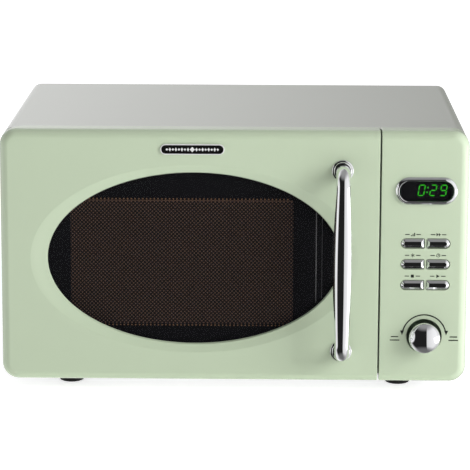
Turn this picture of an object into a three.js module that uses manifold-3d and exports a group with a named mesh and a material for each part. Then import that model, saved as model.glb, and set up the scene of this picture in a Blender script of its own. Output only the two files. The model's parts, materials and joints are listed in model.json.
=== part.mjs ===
// Countertop microwave oven with a side-hinged door, in millimetres.
// +X is to the right of someone who faces the door, +Y runs from the front to the back, +Z is up.
// Inside this file the front face is at y = 0 and the worktop at z = 0. The exported group is then
// moved along Y, so that its origin is on the worktop under the middle of the bounding box.
import * as THREE from "three";
import { mergeVertices } from "three/addons/utils/BufferGeometryUtils.js";
import Module from "manifold-3d";

const wasm = await Module();
wasm.setup();

// ---------------------------------------------------------------- driving dimensions

const frontWidth = 452; // door and control panel together
const frontHeight = 247.5;
const bodyDepth = 330; // front face to the rear edge of the cabinet
const footHeight = 14.5;
const fitGap = 0.3; // between pieces that touch
const sheet = 1; // steel sheet

// Front: door and control panel
const frontDepth = 26;
const frontWall = 2.5;
const cornerRadius = 16; // corners of the front, seen from the front
const edgeRound = 9; // rounding from the front face into the sides
const controlWidth = 84.4;
const doorGap = 1.6; // slit between the door and the control panel
const doorClearance = 1.5; // from the back of the door to the cavity's front plate

// Elliptical window in the door, given by its distance from the door's edges
const windowLeftMargin = 44.9;
const windowRightMargin = 36.1;
const windowTopMargin = 41.3;
const windowBottomMargin = 36.6;
const dishSide = 14.8; // width of the sunk border beside the window
const dishTop = 6.6; // and above and below it
const dishDepth = 2.5;
const glassThickness = 3.2;

// Handle
const handleInset = 35.6; // handle's axis to the door's right edge
const handleTopMargin = 38.4;
const handleBottomMargin = 31.1;
const handleStandoff = 27;
const handleEndRadius = 6.7;
const handleMidRadius = 8.9;
const handleBend = 13.5;
const rosetteRadius = 10.6;
const rosetteHeight = 3.6;

// Hinge
const hingeInset = 9.5; // hinge's axis to the door's left edge and to its back
const hingePinRadius = 2.9;
const hingeTongue = 2; // thickness of a bracket's tongue
const pinBeyondTongue = 4; // a pin's end, from the tongue's lower face
const hingeTopMargin = 12; // lower face of the upper tongue, from the door's top
const hingeBottomMargin = 5;
const doorOpening = 100; // degrees

// Controls
const bezelWidth = 60;
const bezelHeight = 27.4;
const bezelRim = 4.3;
const bezelTopMargin = 44;
const buttonWidth = 23.2; // a button's opening
const buttonHeight = 10.3;
const buttonPitch = 20.5;
const buttonColumnGap = 1.4;
const buttonPlay = 0.5;
const knobRadius = 15.2;
const knobPlay = 2; // knob to the edge of its well
const knobDialGap = 5.9; // knob to the printed arc above it
const knobBottomMargin = 46.5; // knob's axis to the panel's lower edge
const knobHeight = 18.6;

// Cabinet and cavity
const cabinetInset = 1.3; // cabinet's sides, in from the front's sides
const cabinetDrop = 1.9; // cabinet's top, down from the front's top
const cabinetRadius = 10.6;
const cavityLeftMargin = 18.5; // cavity's left wall to the front's left edge
const cavityRightMargin = 32.5; // cavity's right wall to the door's right edge
const cavityBottomMargin = 17.5;
const cavityTopMargin = 33;
const cavityBackMargin = 5;

// Turntable
const trayClearance = 25.5; // tray's rim to the nearest cavity wall
const trayThickness = 4.6;
const trayRimHeight = 8;
const rollerRadius = 7.3;
const rollerWidth = 6;
const rollerInset = 26; // roller's middle, in from the tray's rim
const couplerRadius = 9;
const couplerArmReach = 17;

// Feet
const footRadius = 12.5;
const footInsetSide = 63.5;
const footInsetFront = 59.5;
const footInsetBack = 45;

// ---------------------------------------------------------------- places worked out from them

const left = -frontWidth / 2;
const right = frontWidth / 2;
const bottom = footHeight;
const top = bottom + frontHeight;
const controlLeft = right - controlWidth;
const doorRight = controlLeft - doorGap;

const windowX = (left + windowLeftMargin + doorRight - windowRightMargin) / 2;
const windowZ = (bottom + windowBottomMargin + top - windowTopMargin) / 2;
const windowA = (doorRight - left - windowLeftMargin - windowRightMargin) / 2;
const windowB = (frontHeight - windowBottomMargin - windowTopMargin) / 2;

const handleX = doorRight - handleInset;
const handleTopZ = top - handleTopMargin;
const handleBottomZ = bottom + handleBottomMargin;

const hingeX = left + hingeInset;
const hingeY = frontDepth - hingeInset;
const hingeTongueHalf = hingeInset - cabinetInset - 2 * sheet - 2 * fitGap; // half of its width
const hingeTopZ = top - hingeTopMargin;
const hingeBottomZ = bottom + hingeBottomMargin;
// How far in front of the hinge a tongue crosses the door's side wall when the door is fully open
const pastSquare = THREE.MathUtils.degToRad(doorOpening - 90);
const tongueSweep = (hingeTongueHalf + hingeInset * Math.sin(pastSquare)) / Math.cos(pastSquare);

const plateFront = frontDepth + doorClearance;
const plateBack = plateFront + sheet;
const cabinetSide = right - cabinetInset;
const cabinetTop = top - cabinetDrop;
const baseZ = bottom + 1.5;

const cavity = {
  x0: left + cavityLeftMargin,
  x1: doorRight - cavityRightMargin,
  y0: plateBack + fitGap,
  y1: bodyDepth - cavityBackMargin,
  z0: bottom + cavityBottomMargin,
  z1: top - cavityTopMargin,
};
const cavityX = (cavity.x0 + cavity.x1) / 2;
const cavityY = (cavity.y0 + cavity.y1) / 2;
const cavityZ = (cavity.z0 + cavity.z1) / 2;

const controlX = (controlLeft + right) / 2 + 1.1;
const bezelZ = top - bezelTopMargin - bezelHeight / 2;
const knobZ = bottom + knobBottomMargin;
const knobWellRadius = knobRadius + knobPlay;
const buttonBlockDrop = 4; // below the middle of the space between the display and the dial
const buttonZ = (bezelZ - bezelHeight / 2 + knobZ + knobRadius + knobDialGap) / 2 - buttonBlockDrop;

const trayRadius = Math.min(cavity.x1 - cavity.x0, cavity.y1 - cavity.y0) / 2 - trayClearance;
const rollerZ = cavity.z0 + fitGap + rollerRadius;
const trayBottomZ = rollerZ + rollerRadius + fitGap;
const rollerTrack = trayRadius - rollerInset;

// ---------------------------------------------------------------- materials

const finish = (color, roughness, metalness = 0, extra = {}) =>
  new THREE.MeshStandardMaterial({ color, roughness, metalness, ...extra });

const greenPlastic = finish(0xc0cfb0, 0.3);
const greyPaint = finish(0xbcbfb8, 0.32);
const chrome = finish(0xe4e6ea, 0.07, 1);
const blackPlastic = finish(0x141416, 0.45);
const blackRubber = finish(0x101010, 0.8);
const tintedGlass = finish(0x0c0d10, 0.05, 0, { transparent: true, opacity: 0.6 });
const clearGlass = finish(0xdfe8e6, 0.04, 0, { transparent: true, opacity: 0.35 });
const blackSteel = finish(0x2a211c, 0.5, 0.4);
const zincSteel = finish(0xb6b9bd, 0.42, 0.8);
const enamel = finish(0xd3d5d2, 0.38);
const laminatedSteel = finish(0x6d6a66, 0.55, 0.7);
const whitePlastic = finish(0xe6e4dc, 0.5);
const greenBoard = finish(0x2f6a3f, 0.55);
const mica = finish(0xb9ac93, 0.7);
const aluminium = finish(0xc6c9cc, 0.35, 0.9);
const darkGreenPlastic = finish(0x24382a, 0.5);

// ---------------------------------------------------------------- solids

// A geometry, which may be open only where its vertices meet, as a manifold solid that faces out.
function solid(geometry) {
  const bare = new THREE.BufferGeometry();
  bare.setAttribute("position", geometry.getAttribute("position"));
  if (geometry.index) bare.setIndex(geometry.index);
  const merged = mergeVertices(bare, 1e-4);
  const make = (triVerts) =>
    new wasm.Manifold(
      new wasm.Mesh({ numProp: 3, vertProperties: merged.attributes.position.array, triVerts }),
    );
  const triangles = new Uint32Array(merged.index.array);
  const made = make(triangles);
  return made.volume() < 0 ? make(triangles.reverse()) : made;
}

// A manifold solid as a geometry with flat faces.
function geometryOf(made) {
  const mesh = made.getMesh();
  const geometry = new THREE.BufferGeometry();
  geometry.setAttribute("position", new THREE.BufferAttribute(mesh.vertProperties, 3));
  geometry.setIndex(new THREE.BufferAttribute(mesh.triVerts, 1));
  const flat = geometry.toNonIndexed();
  flat.computeVertexNormals();
  return flat;
}

function piece(name, shape, material, x = 0, y = 0, z = 0) {
  const mesh = new THREE.Mesh(shape.isBufferGeometry ? shape : geometryOf(shape), material);
  mesh.name = name;
  mesh.position.set(x, y, z);
  return mesh;
}

function assembly(...children) {
  const group = new THREE.Group();
  group.add(...children.flat());
  return group;
}

const join = (first, ...others) => others.reduce((sum, next) => sum.add(next), first);
const cut = (first, ...others) => others.reduce((rest, next) => rest.subtract(next), first);

const box = (x0, x1, y0, y1, z0, z1) =>
  solid(
    new THREE.BoxGeometry(x1 - x0, y1 - y0, z1 - z0).translate(
      (x0 + x1) / 2,
      (y0 + y1) / 2,
      (z0 + z1) / 2,
    ),
  );

const rodX = (radius, x0, x1, y, z, segments = 24) =>
  solid(
    new THREE.CylinderGeometry(radius, radius, x1 - x0, segments)
      .rotateZ(Math.PI / 2)
      .translate((x0 + x1) / 2, y, z),
  );

const rodY = (radius, y0, y1, x, z, segments = 24) =>
  solid(
    new THREE.CylinderGeometry(radius, radius, y1 - y0, segments).translate(x, (y0 + y1) / 2, z),
  );

const rodZ = (radius, z0, z1, x, y, segments = 24) =>
  solid(
    new THREE.CylinderGeometry(radius, radius, z1 - z0, segments)
      .rotateX(Math.PI / 2)
      .translate(x, y, (z0 + z1) / 2),
  );

// A body turned about the Y axis or the Z axis, from [radius, distance along the axis] pairs.
const turnedY = (profile, segments = 48) =>
  solid(new THREE.LatheGeometry(profile.map(([r, h]) => new THREE.Vector2(r, h)), segments));
const turnedZ = (profile, segments = 48) =>
  solid(
    new THREE.LatheGeometry(
      profile.map(([r, h]) => new THREE.Vector2(r, h)),
      segments,
    ).rotateX(Math.PI / 2),
  );

// An outline in X and Z, run back from y0 to y1. With a rounding, its front edge is rounded over.
function runBack(outline, y0, y1, rounding = 0, curveSegments = 4, bevelSegments = 3) {
  const depth = y1 - y0;
  const geometry = new THREE.ExtrudeGeometry(outline, {
    depth,
    curveSegments,
    bevelEnabled: rounding > 0,
    bevelThickness: rounding,
    bevelSize: rounding,
    bevelOffset: -rounding,
    bevelSegments,
  });
  geometry.rotateX(Math.PI / 2).translate(0, y1 + rounding, 0);
  const made = solid(geometry);
  const reach = 1000;
  return rounding > 0 ? made.intersect(box(-reach, reach, y0 - 1, y1, -reach, reach)) : made;
}

function roundedRectangle(x0, x1, z0, z1, radius, Outline = THREE.Shape) {
  return new Outline()
    .moveTo(x0 + radius, z0)
    .absarc(x1 - radius, z0 + radius, radius, -Math.PI / 2, 0, false)
    .absarc(x1 - radius, z1 - radius, radius, 0, Math.PI / 2, false)
    .absarc(x0 + radius, z1 - radius, radius, Math.PI / 2, Math.PI, false)
    .absarc(x0 + radius, z0 + radius, radius, Math.PI, 1.5 * Math.PI, false);
}

// A slot's outline: straight above and below, with half circles for ends.
function stadium(x, z, width, height) {
  const radius = height / 2;
  const reach = width / 2 - radius;
  return new THREE.Shape()
    .absarc(x + reach, z, radius, -Math.PI / 2, Math.PI / 2, false)
    .absarc(x - reach, z, radius, Math.PI / 2, 1.5 * Math.PI, false)
    .lineTo(x + reach, z - radius);
}

// A solid with an ellipse at each end, about the window's axis. Half sizes are [across, up].
function ellipticPlug(y0, [a0, b0], y1, [a1, b1]) {
  const geometry = new THREE.CylinderGeometry(1, 1, y1 - y0, 56);
  const position = geometry.getAttribute("position");
  for (let i = 0; i < position.count; i++) {
    const atBack = position.getY(i) > 0;
    position.setX(i, position.getX(i) * (atBack ? a1 : a0));
    position.setZ(i, position.getZ(i) * (atBack ? b1 : b0));
  }
  return solid(geometry.translate(windowX, (y0 + y1) / 2, windowZ));
}

// A list of count members, of which make(i) gives number i.
const row = (count, make) => Array.from({ length: count }, (_, i) => make(i));

// ---------------------------------------------------------------- front shells

const frontOutline = (inset) =>
  roundedRectangle(left + inset, right - inset, bottom + inset, top - inset, cornerRadius - inset);

const frontBlock = (inset) => runBack(frontOutline(inset), inset, frontDepth, edgeRound - inset);

// The part of the front between x0 and x1 as a shell, open at the back.
function frontShell(x0, x1) {
  const outside = 5;
  const wallAt = (x, side) => (Math.abs(x) < right ? x + side * frontWall : x - side * outside);
  const outer = frontBlock(0).intersect(
    box(x0, x1, -outside, frontDepth + outside, bottom - outside, top + outside),
  );
  const inner = runBack(frontOutline(frontWall), frontWall, frontDepth + outside, edgeRound - frontWall)
    .intersect(box(wallAt(x0, 1), wallAt(x1, -1), 0, frontDepth + outside, bottom, top));
  return cut(outer, inner);
}

function doorFrame() {
  const opening = [windowA, windowB];
  const rim = [windowA + dishSide, windowB + dishTop];
  const beyond = [windowA + 2 * dishSide, windowB + 2 * dishTop];
  const overlap = 1; // with the front wall
  const backing = ellipticPlug(frontWall - overlap, rim, frontWall + dishDepth, opening);
  const dish = ellipticPlug(-dishDepth, beyond, dishDepth, opening);
  const through = ellipticPlug(0, opening, frontDepth, opening);

  // The back of the hinged edge is round about the hinge, so that it clears the front plate.
  const hingedEdge = cut(
    box(left - 1, hingeX, hingeY, frontDepth + 1, bottom - 1, top + 1),
    rodZ(hingeInset, bottom - 1, top + 1, hingeX, hingeY, 48),
  );
  const bossRadius = 5.5;
  const upperBossZ = hingeTopZ + hingeTongue + 1;
  const lowerBossZ = hingeBottomZ - 1;
  const pinHole = hingePinRadius + fitGap;
  const slitFor = (z) =>
    box(
      left - 1,
      hingeX + hingeTongueHalf + 1,
      hingeY - tongueSweep - 0.5,
      frontDepth + 1,
      z - 1,
      z + hingeTongue + 1,
    );
  const screwHole = (z) => rodY(2.3, -1, frontWall + 1, handleX, z, 12);
  return cut(
    join(
      frontShell(left, doorRight),
      backing,
      rodZ(bossRadius, upperBossZ, top - frontWall + 0.5, hingeX, hingeY),
      rodZ(bossRadius, bottom + frontWall - 0.5, lowerBossZ, hingeX, hingeY),
    ),
    dish,
    through,
    hingedEdge,
    rodZ(pinHole, hingeTopZ - pinBeyondTongue - 1, top - frontWall, hingeX, hingeY),
    rodZ(pinHole, bottom + frontWall, hingeBottomZ + pinBeyondTongue + 1, hingeX, hingeY),
    slitFor(hingeTopZ),
    slitFor(hingeBottomZ),
    screwHole(handleTopZ),
    screwHole(handleBottomZ),
  );
}

// ---------------------------------------------------------------- door

const glassMargin = 6.5; // glass beyond the window, all round
const glassCorner = 40;
const glassY = frontWall + dishDepth + fitGap;

const doorGlass = () =>
  runBack(
    roundedRectangle(
      windowX - windowA - glassMargin,
      windowX + windowA + glassMargin,
      windowZ - windowB - glassMargin,
      windowZ + windowB + glassMargin,
      glassCorner,
    ),
    glassY,
    glassY + glassThickness,
    0,
    6,
  );

// The steel back of the door laps over the cavity's mouth on every side.
const choke = {
  x0: cavity.x0 - 13.5,
  x1: cavity.x1 + 14.5,
  z0: cavity.z0 - 8,
  z1: cavity.z1 + 12,
  y0: glassY + glassThickness + 3.5,
  y1: frontDepth - 2,
};
const chokeWidth = 26; // of the channel that runs round the screen

const doorScreen = () => box(choke.x0, choke.x1, choke.y0, choke.y0 + sheet, choke.z0, choke.z1);

// A channel open to the back, with slots along its outer wall.
function chokeFrame() {
  const { x0, x1, z0, z1 } = choke;
  const y0 = choke.y0 + sheet + fitGap;
  const y1 = choke.y1;
  const ring = (inset, width, from, to) =>
    cut(
      box(x0 + inset, x1 - inset, from, to, z0 + inset, z1 - inset),
      box(
        x0 + inset + width,
        x1 - inset - width,
        from - 1,
        to + 1,
        z0 + inset + width,
        z1 - inset - width,
      ),
    );
  const channel = cut(
    ring(0, chokeWidth, y0, y1),
    ring(sheet, chokeWidth - 2 * sheet, y0 + sheet, y1 + 1),
  );
  const slotWidth = 5;
  const pitch = 38;
  const along = Math.floor((x1 - x0 - pitch) / pitch);
  const up = Math.floor((z1 - z0 - pitch) / pitch);
  const depth = y0 + 3;
  const across = row(along, (i) => {
    const x = (x0 + x1) / 2 + (i - (along - 1) / 2) * pitch;
    return box(x - slotWidth / 2, x + slotWidth / 2, depth, y1 + 1, z0 - 1, z1 + 1);
  });
  const upward = row(up, (i) => {
    const z = (z0 + z1) / 2 + (i - (up - 1) / 2) * pitch;
    return box(x0 - 1, x1 + 1, depth, y1 + 1, z - slotWidth / 2, z + slotWidth / 2);
  });
  const keep = box(
    x0 + 2 * sheet,
    x1 - 2 * sheet,
    y0 - 2,
    y1 + 2,
    z0 + 2 * sheet,
    z1 - 2 * sheet,
  );
  return cut(channel, cut(join(...across, ...upward), keep));
}

const hookX = doorRight - 11;
const hookHalf = 2.5; // half of a hook's width
const hookHeight = 8;
const hookSpread = 48; // hooks above and below the cavity's middle
const hookReach = 17; // behind the front plate
const latchTravel = 4;
const hookZs = [cavityZ - hookSpread, cavityZ + hookSpread];

function chokeCover() {
  const clear = 0.6;
  const outline = roundedRectangle(
    hingeX + hingeTongueHalf + 1,
    doorRight - frontWall - clear,
    bottom + frontWall + clear,
    top - frontWall - clear,
    4,
  );
  outline.holes.push(
    roundedRectangle(
      choke.x0 + chokeWidth + 1,
      choke.x1 - chokeWidth - 1,
      choke.z0 + chokeWidth + 1,
      choke.z1 - chokeWidth - 1,
      5,
      THREE.Path,
    ),
  );
  const y0 = choke.y1 + fitGap;
  const hookSlots = hookZs.map((z) =>
    box(
      hookX - hookHalf - 1,
      hookX + hookHalf + 1,
      y0 - 1,
      frontDepth + 1,
      z - hookHeight / 2 - 4,
      z + hookHeight / 2 + latchTravel + 1,
    ),
  );
  return cut(runBack(outline, y0, frontDepth - 0.2, 0, 4), ...hookSlots);
}

// A sprung bar inside the door with two hooks that reach through the front plate.
function latchHook() {
  const barY0 = choke.y0 + 3;
  const barY1 = barY0 + 4;
  const tip = plateBack + hookReach;
  const hooks = hookZs.map((z) =>
    join(
      box(hookX - hookHalf, hookX + hookHalf, barY1 - 1, tip, z - hookHeight / 2, z + hookHeight / 2),
      box(hookX - hookHalf, hookX + hookHalf, tip - 6, tip, z - hookHeight / 2 - 3, z),
    ),
  );
  const bar = box(
    hookX - 4,
    hookX + 4,
    barY0,
    barY1,
    cavityZ - hookSpread - 14,
    cavityZ + hookSpread + 14,
  );
  const springPost = box(hookX - 4, hookX + 4, barY0 - 7, barY0 + 1, cavityZ + 16, cavityZ + 19);
  return join(bar, springPost, ...hooks);
}

class Helix extends THREE.Curve {
  constructor(radius, height, turns) {
    super();
    Object.assign(this, { radius, height, turns });
  }
  getPoint(t) {
    const angle = t * this.turns * 2 * Math.PI;
    return new THREE.Vector3(
      this.radius * Math.cos(angle),
      this.radius * Math.sin(angle),
      t * this.height,
    );
  }
}

const springRadius = 2.2;
const springLength = 26;
const springWire = 0.45;

function latchSpring() {
  const section = new THREE.Shape().absarc(0, 0, springWire, 0, 2 * Math.PI, false);
  const turns = 6;
  return solid(
    new THREE.ExtrudeGeometry(section, {
      steps: turns * 8,
      curveSegments: 3,
      extrudePath: new Helix(springRadius, springLength, turns),
      bevelEnabled: false,
    }),
  );
}

// A round rod through stations in the YZ plane: [y, z, heading, radius]. Heading 0 is towards -Y.
function bentRod(stations, sides) {
  const last = stations.length - 1;
  const geometry = new THREE.CylinderGeometry(1, 1, last, sides, last);
  const position = geometry.getAttribute("position");
  for (let i = 0; i < position.count; i++) {
    const [y, z, heading, radius] = stations[Math.round(position.getY(i) + last / 2)];
    const across = radius * position.getX(i);
    const outward = radius * position.getZ(i);
    position.setXYZ(i, across, y + outward * Math.sin(heading), z + outward * Math.cos(heading));
  }
  return solid(geometry);
}

// A swelling grip with an elbow at each end. Each elbow's foot stands on the door.
function handleBar() {
  const elbowSteps = 5;
  const gripSteps = 8;
  const lower = row(elbowSteps + 1, (i) => {
    const turn = (Math.PI / 2) * (i / elbowSteps);
    return [
      handleBend * (1 - Math.sin(turn)) - handleStandoff,
      handleBottomZ + handleBend * (1 - Math.cos(turn)),
      turn,
      handleEndRadius,
    ];
  });
  lower.unshift([-fitGap, handleBottomZ, 0, handleEndRadius]);
  const upper = lower
    .map(([y, z, turn, radius]) => [y, handleTopZ + handleBottomZ - z, Math.PI - turn, radius])
    .reverse();
  const gripLow = handleBottomZ + handleBend;
  const gripLength = handleTopZ - handleBottomZ - 2 * handleBend;
  const grip = row(gripSteps - 1, (i) => {
    const along = (i + 1) / gripSteps;
    const swell = (handleMidRadius - handleEndRadius) * Math.sin(Math.PI * along);
    return [-handleStandoff, gripLow + gripLength * along, Math.PI / 2, handleEndRadius + swell];
  });
  return bentRod([...lower, ...grip, ...upper], 16).translate([handleX, 0, 0]);
}

function rosette() {
  const bore = handleEndRadius + fitGap;
  const step = 1.4;
  return turnedY(
    [
      [bore, -fitGap],
      [rosetteRadius, -fitGap],
      [rosetteRadius, -rosetteHeight + step],
      [rosetteRadius - step, -rosetteHeight],
      [bore, -rosetteHeight],
      [bore, -fitGap],
    ],
    24,
  );
}

const nameplateWidth = 60;
const nameplateHeight = 8.6;
const nameplateTopMargin = 18.4;
const nameplate = () =>
  runBack(
    stadium(windowX - 1.6, top - nameplateTopMargin, nameplateWidth, nameplateHeight),
    -1.3,
    -fitGap,
    0,
    6,
  );

function buildDoor() {
  return assembly(
    piece("door_frame", doorFrame(), greenPlastic),
    piece("door_glass", doorGlass(), tintedGlass),
    piece("door_screen", doorScreen(), blackSteel),
    piece("choke_frame", chokeFrame(), zincSteel),
    piece("choke_cover", chokeCover(), blackPlastic),
    piece("latch_hook", latchHook(), whitePlastic),
    piece("latch_spring", latchSpring(), zincSteel, hookX, choke.y0 - 0.5, cavityZ - springLength / 2),
    piece("handle_bar", handleBar(), chrome),
    piece("handle_rosette_top", rosette(), chrome, handleX, 0, handleTopZ),
    piece("handle_rosette_bottom", rosette(), chrome, handleX, 0, handleBottomZ),
    piece("nameplate", nameplate(), blackPlastic),
    piece(
      "hinge_pin_top",
      rodZ(
        hingePinRadius,
        hingeTopZ - pinBeyondTongue,
        top - frontWall - fitGap,
        hingeX,
        hingeY,
      ),
      zincSteel,
    ),
    piece(
      "hinge_pin_bottom",
      rodZ(
        hingePinRadius,
        bottom + frontWall + fitGap,
        hingeBottomZ + pinBeyondTongue,
        hingeX,
        hingeY,
      ),
      zincSteel,
    ),
  );
}

// ---------------------------------------------------------------- control panel

// A button's outline about its own middle. Side -1 has its left end round, side 1 its right end.
function buttonOutline(side, grow) {
  const halfWidth = buttonWidth / 2 + grow;
  const halfHeight = buttonHeight / 2 + grow;
  const corner = 1.6 + grow;
  const turn = side < 0 ? Math.PI : 0;
  const outline = new THREE.Shape();
  const at = (x, z, radius, from, to) =>
    outline.absarc(side * x, side * z, radius, from + turn, to + turn, false);
  at(halfWidth - halfHeight, 0, halfHeight, -Math.PI / 2, Math.PI / 2);
  at(corner - halfWidth, halfHeight - corner, corner, Math.PI / 2, Math.PI);
  at(corner - halfWidth, corner - halfHeight, corner, Math.PI, 1.5 * Math.PI);
  return outline.closePath();
}

const buttons = ["power", "quick_start", "defrost", "clock", "stop", "start"].map((name, i) => {
  const side = i % 2 ? 1 : -1;
  return {
    name: `button_${name}`,
    side,
    x: controlX + (side * (buttonWidth + buttonColumnGap)) / 2,
    z: buttonZ + (1 - Math.floor(i / 2)) * buttonPitch,
  };
});

const buttonProud = 1.8;
const buttonFlange = (buttonColumnGap - fitGap) / 2; // beyond the opening, all round
const buttonFlangeY = frontWall + 0.5;
const boardY = 20; // front of the control board
const boardThickness = 1.6;

const button = (side) =>
  join(
    runBack(buttonOutline(side, -buttonPlay), -buttonProud, buttonFlangeY + 0.5, 0.8, 3, 1),
    runBack(buttonOutline(side, buttonFlange), buttonFlangeY, buttonFlangeY + 1.2, 0, 3),
    rodY(2, buttonFlangeY + 1, boardY - 6.5, 0, 0, 8),
  );

const lensWidth = bezelWidth - 2 * bezelRim;
const lensHeight = bezelHeight - 1.3 * bezelRim;
const lensPlay = 0.6;

function controlPanel() {
  const holes = buttons.map(({ side, x, z }) =>
    runBack(buttonOutline(side, 0), -1, frontWall + 1, 0, 3).translate([x, 0, z]),
  );
  return cut(
    frontShell(controlLeft, right),
    ...holes,
    runBack(
      stadium(controlX, bezelZ, lensWidth + 2 * lensPlay, lensHeight + 2 * lensPlay),
      -1,
      frontWall + 1,
    ),
    rodY(knobWellRadius, -1, frontWall + 1, controlX, knobZ, 32),
  );
}

function displayBezel() {
  const ring = stadium(controlX, bezelZ, bezelWidth, bezelHeight);
  const opening = stadium(controlX, bezelZ, lensWidth + lensPlay, lensHeight + lensPlay);
  return cut(runBack(ring, -3.2, -fitGap, 2), runBack(opening, -10, 5));
}

function knob() {
  const domeRise = 8.2;
  const domeRadius = (knobRadius ** 2 + domeRise ** 2) / (2 * domeRise);
  const steps = 5;
  const shoulder = -knobHeight + domeRise;
  const dome = Array.from({ length: steps }, (_, i) => {
    const angle = Math.asin(knobRadius / domeRadius) * (1 - i / steps);
    return [
      domeRadius * Math.sin(angle),
      -knobHeight + domeRadius * (1 - Math.cos(angle)),
    ];
  });
  const skirtBack = 1.6;
  const bore = 3.2;
  return turnedY([
    [bore, skirtBack],
    [knobRadius, skirtBack],
    [knobRadius, shoulder + 0.01],
    ...dome,
    [0, -knobHeight],
    [0, -knobHeight + 6],
    [bore, -knobHeight + 6],
    [bore, skirtBack],
  ], 30);
}

// A shallow dark cup behind the knob, which closes the panel's opening.
function knobWell() {
  const y0 = frontWall + fitGap;
  return cut(
    rodY(knobWellRadius + 1.8, y0, y0 + 5, controlX, knobZ, 24),
    rodY(knobWellRadius, y0 - 1, y0 + 3.4, controlX, knobZ, 24),
    rodY(4, y0, y0 + 6, controlX, knobZ, 16),
  );
}

// The board carries the rotary encoder in front, and a relay and a small transformer behind.
function controlBoard() {
  const y1 = boardY + boardThickness;
  const board = box(controlX - 35, controlX + 35, boardY, y1, knobZ - 26, bezelZ + 18);
  const encoder = box(
    controlX - 7,
    controlX + 7,
    frontWall + 8,
    boardY + 0.5,
    knobZ - 7,
    knobZ + 7,
  );
  const relay = box(controlX - 28, controlX - 10, y1 - 0.5, y1 + 15, buttonZ - 14, buttonZ + 12);
  const supply = box(controlX + 2, controlX + 30, y1 - 0.5, y1 + 22, buttonZ - 30, buttonZ - 2);
  return cut(
    join(board, encoder, relay, supply),
    rodY(3.3, frontWall + 7, boardY - 1, controlX, knobZ, 16),
  );
}

function buildControls() {
  const lens = runBack(stadium(controlX, bezelZ, lensWidth, lensHeight), -1, frontWall + 1.5);
  const display = box(
    controlX - lensWidth / 2 + 2,
    controlX + lensWidth / 2 - 2,
    frontWall + 1.5 + fitGap,
    boardY - fitGap,
    bezelZ - lensHeight / 2 + 1,
    bezelZ + lensHeight / 2 - 1,
  );
  return assembly(
    piece("control_panel", controlPanel(), greenPlastic),
    piece("display_bezel", displayBezel(), chrome),
    piece("display_lens", lens, tintedGlass),
    piece("display_module", display, blackPlastic),
    buttons.map(({ name, side, x, z }) => piece(name, button(side), chrome, x, 0, z)),
    piece("control_knob", knob(), chrome, controlX, 0, knobZ),
    piece(
      "encoder_shaft",
      rodY(2.9, -knobHeight + 6 + fitGap, boardY - 2, controlX, knobZ, 16),
      zincSteel,
    ),
    piece("knob_well", knobWell(), darkGreenPlastic),
    piece("control_board", controlBoard(), greenBoard),
  );
}

// ---------------------------------------------------------------- cabinet, cavity and feet

// Top and sides in one sheet, bent over rounded edges.
function outerCabinet() {
  const z0 = baseZ;
  const y0 = plateFront - 0.2;
  const path = new THREE.Shape();
  const bend = (x, radius, from, to, clockwise) =>
    path.absarc(x, cabinetTop - cabinetRadius, radius, from, to, clockwise);
  const inX = cabinetSide - cabinetRadius;
  path.moveTo(-cabinetSide, z0);
  path.lineTo(-cabinetSide + sheet, z0);
  bend(-inX, cabinetRadius - sheet, Math.PI, Math.PI / 2, true);
  bend(inX, cabinetRadius - sheet, Math.PI / 2, 0, true);
  path.lineTo(cabinetSide - sheet, z0);
  path.lineTo(cabinetSide, z0);
  bend(inX, cabinetRadius, 0, Math.PI / 2, false);
  bend(-inX, cabinetRadius, Math.PI / 2, Math.PI, false);
  path.closePath();
  const slot = (x, y, z) => box(x - 5, x + 5, y - 24, y + 24, z - 1.5, z + 1.5);
  const pitch = 8;
  const vents = [
    ...row(7, (i) => slot(cabinetSide, bodyDepth - 60, cavityZ + (i - 3) * pitch)),
    ...row(6, (i) => slot(cabinetSide, plateFront + 70, cavity.z0 + 18 + i * pitch)),
    ...row(6, (i) => slot(-cabinetSide, bodyDepth - 60, cavity.z1 - 12 - i * pitch)),
  ];
  return cut(runBack(path, y0, bodyDepth), ...vents);
}

const feet = [
  { name: "foot_front_left", x: left + footInsetSide, y: footInsetFront },
  { name: "foot_front_right", x: right - footInsetSide, y: footInsetFront },
  { name: "foot_back_left", x: left + footInsetSide, y: bodyDepth - footInsetBack },
  { name: "foot_back_right", x: right - footInsetSide, y: bodyDepth - footInsetBack },
];
const footStemRadius = 3;

function basePan() {
  const x1 = cabinetSide - sheet - fitGap;
  const y0 = plateBack + fitGap;
  const y1 = bodyDepth - 2 - fitGap;
  const flange = 11;
  const stems = feet.map(({ x, y }) => rodZ(footStemRadius + fitGap, 0, baseZ + 5, x, y, 16));
  const vents = row(6, (i) => {
    const x = right - 86 + i * 11;
    return box(x - 2, x + 2, cavityY - 60, cavityY - 20, baseZ - 1, baseZ + 2);
  });
  return cut(
    box(-x1, x1, y0, y1, baseZ, baseZ + flange),
    box(-x1 + sheet, x1 - sheet, y0 - 1, y1 + 1, baseZ + sheet, baseZ + flange + 1),
    ...stems,
    ...vents,
  );
}

const foot = () =>
  turnedZ(
    [
      [0, 0],
      [footRadius - 2, 0],
      [footRadius, 2],
      [footRadius - 1, baseZ - fitGap],
      [footStemRadius, baseZ - fitGap],
      [footStemRadius, baseZ + 6],
      [0, baseZ + 6],
    ],
    16,
  );

const tongueX0 = hingeX - hingeTongueHalf;
const tongueX1 = hingeX + hingeTongueHalf;

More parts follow.
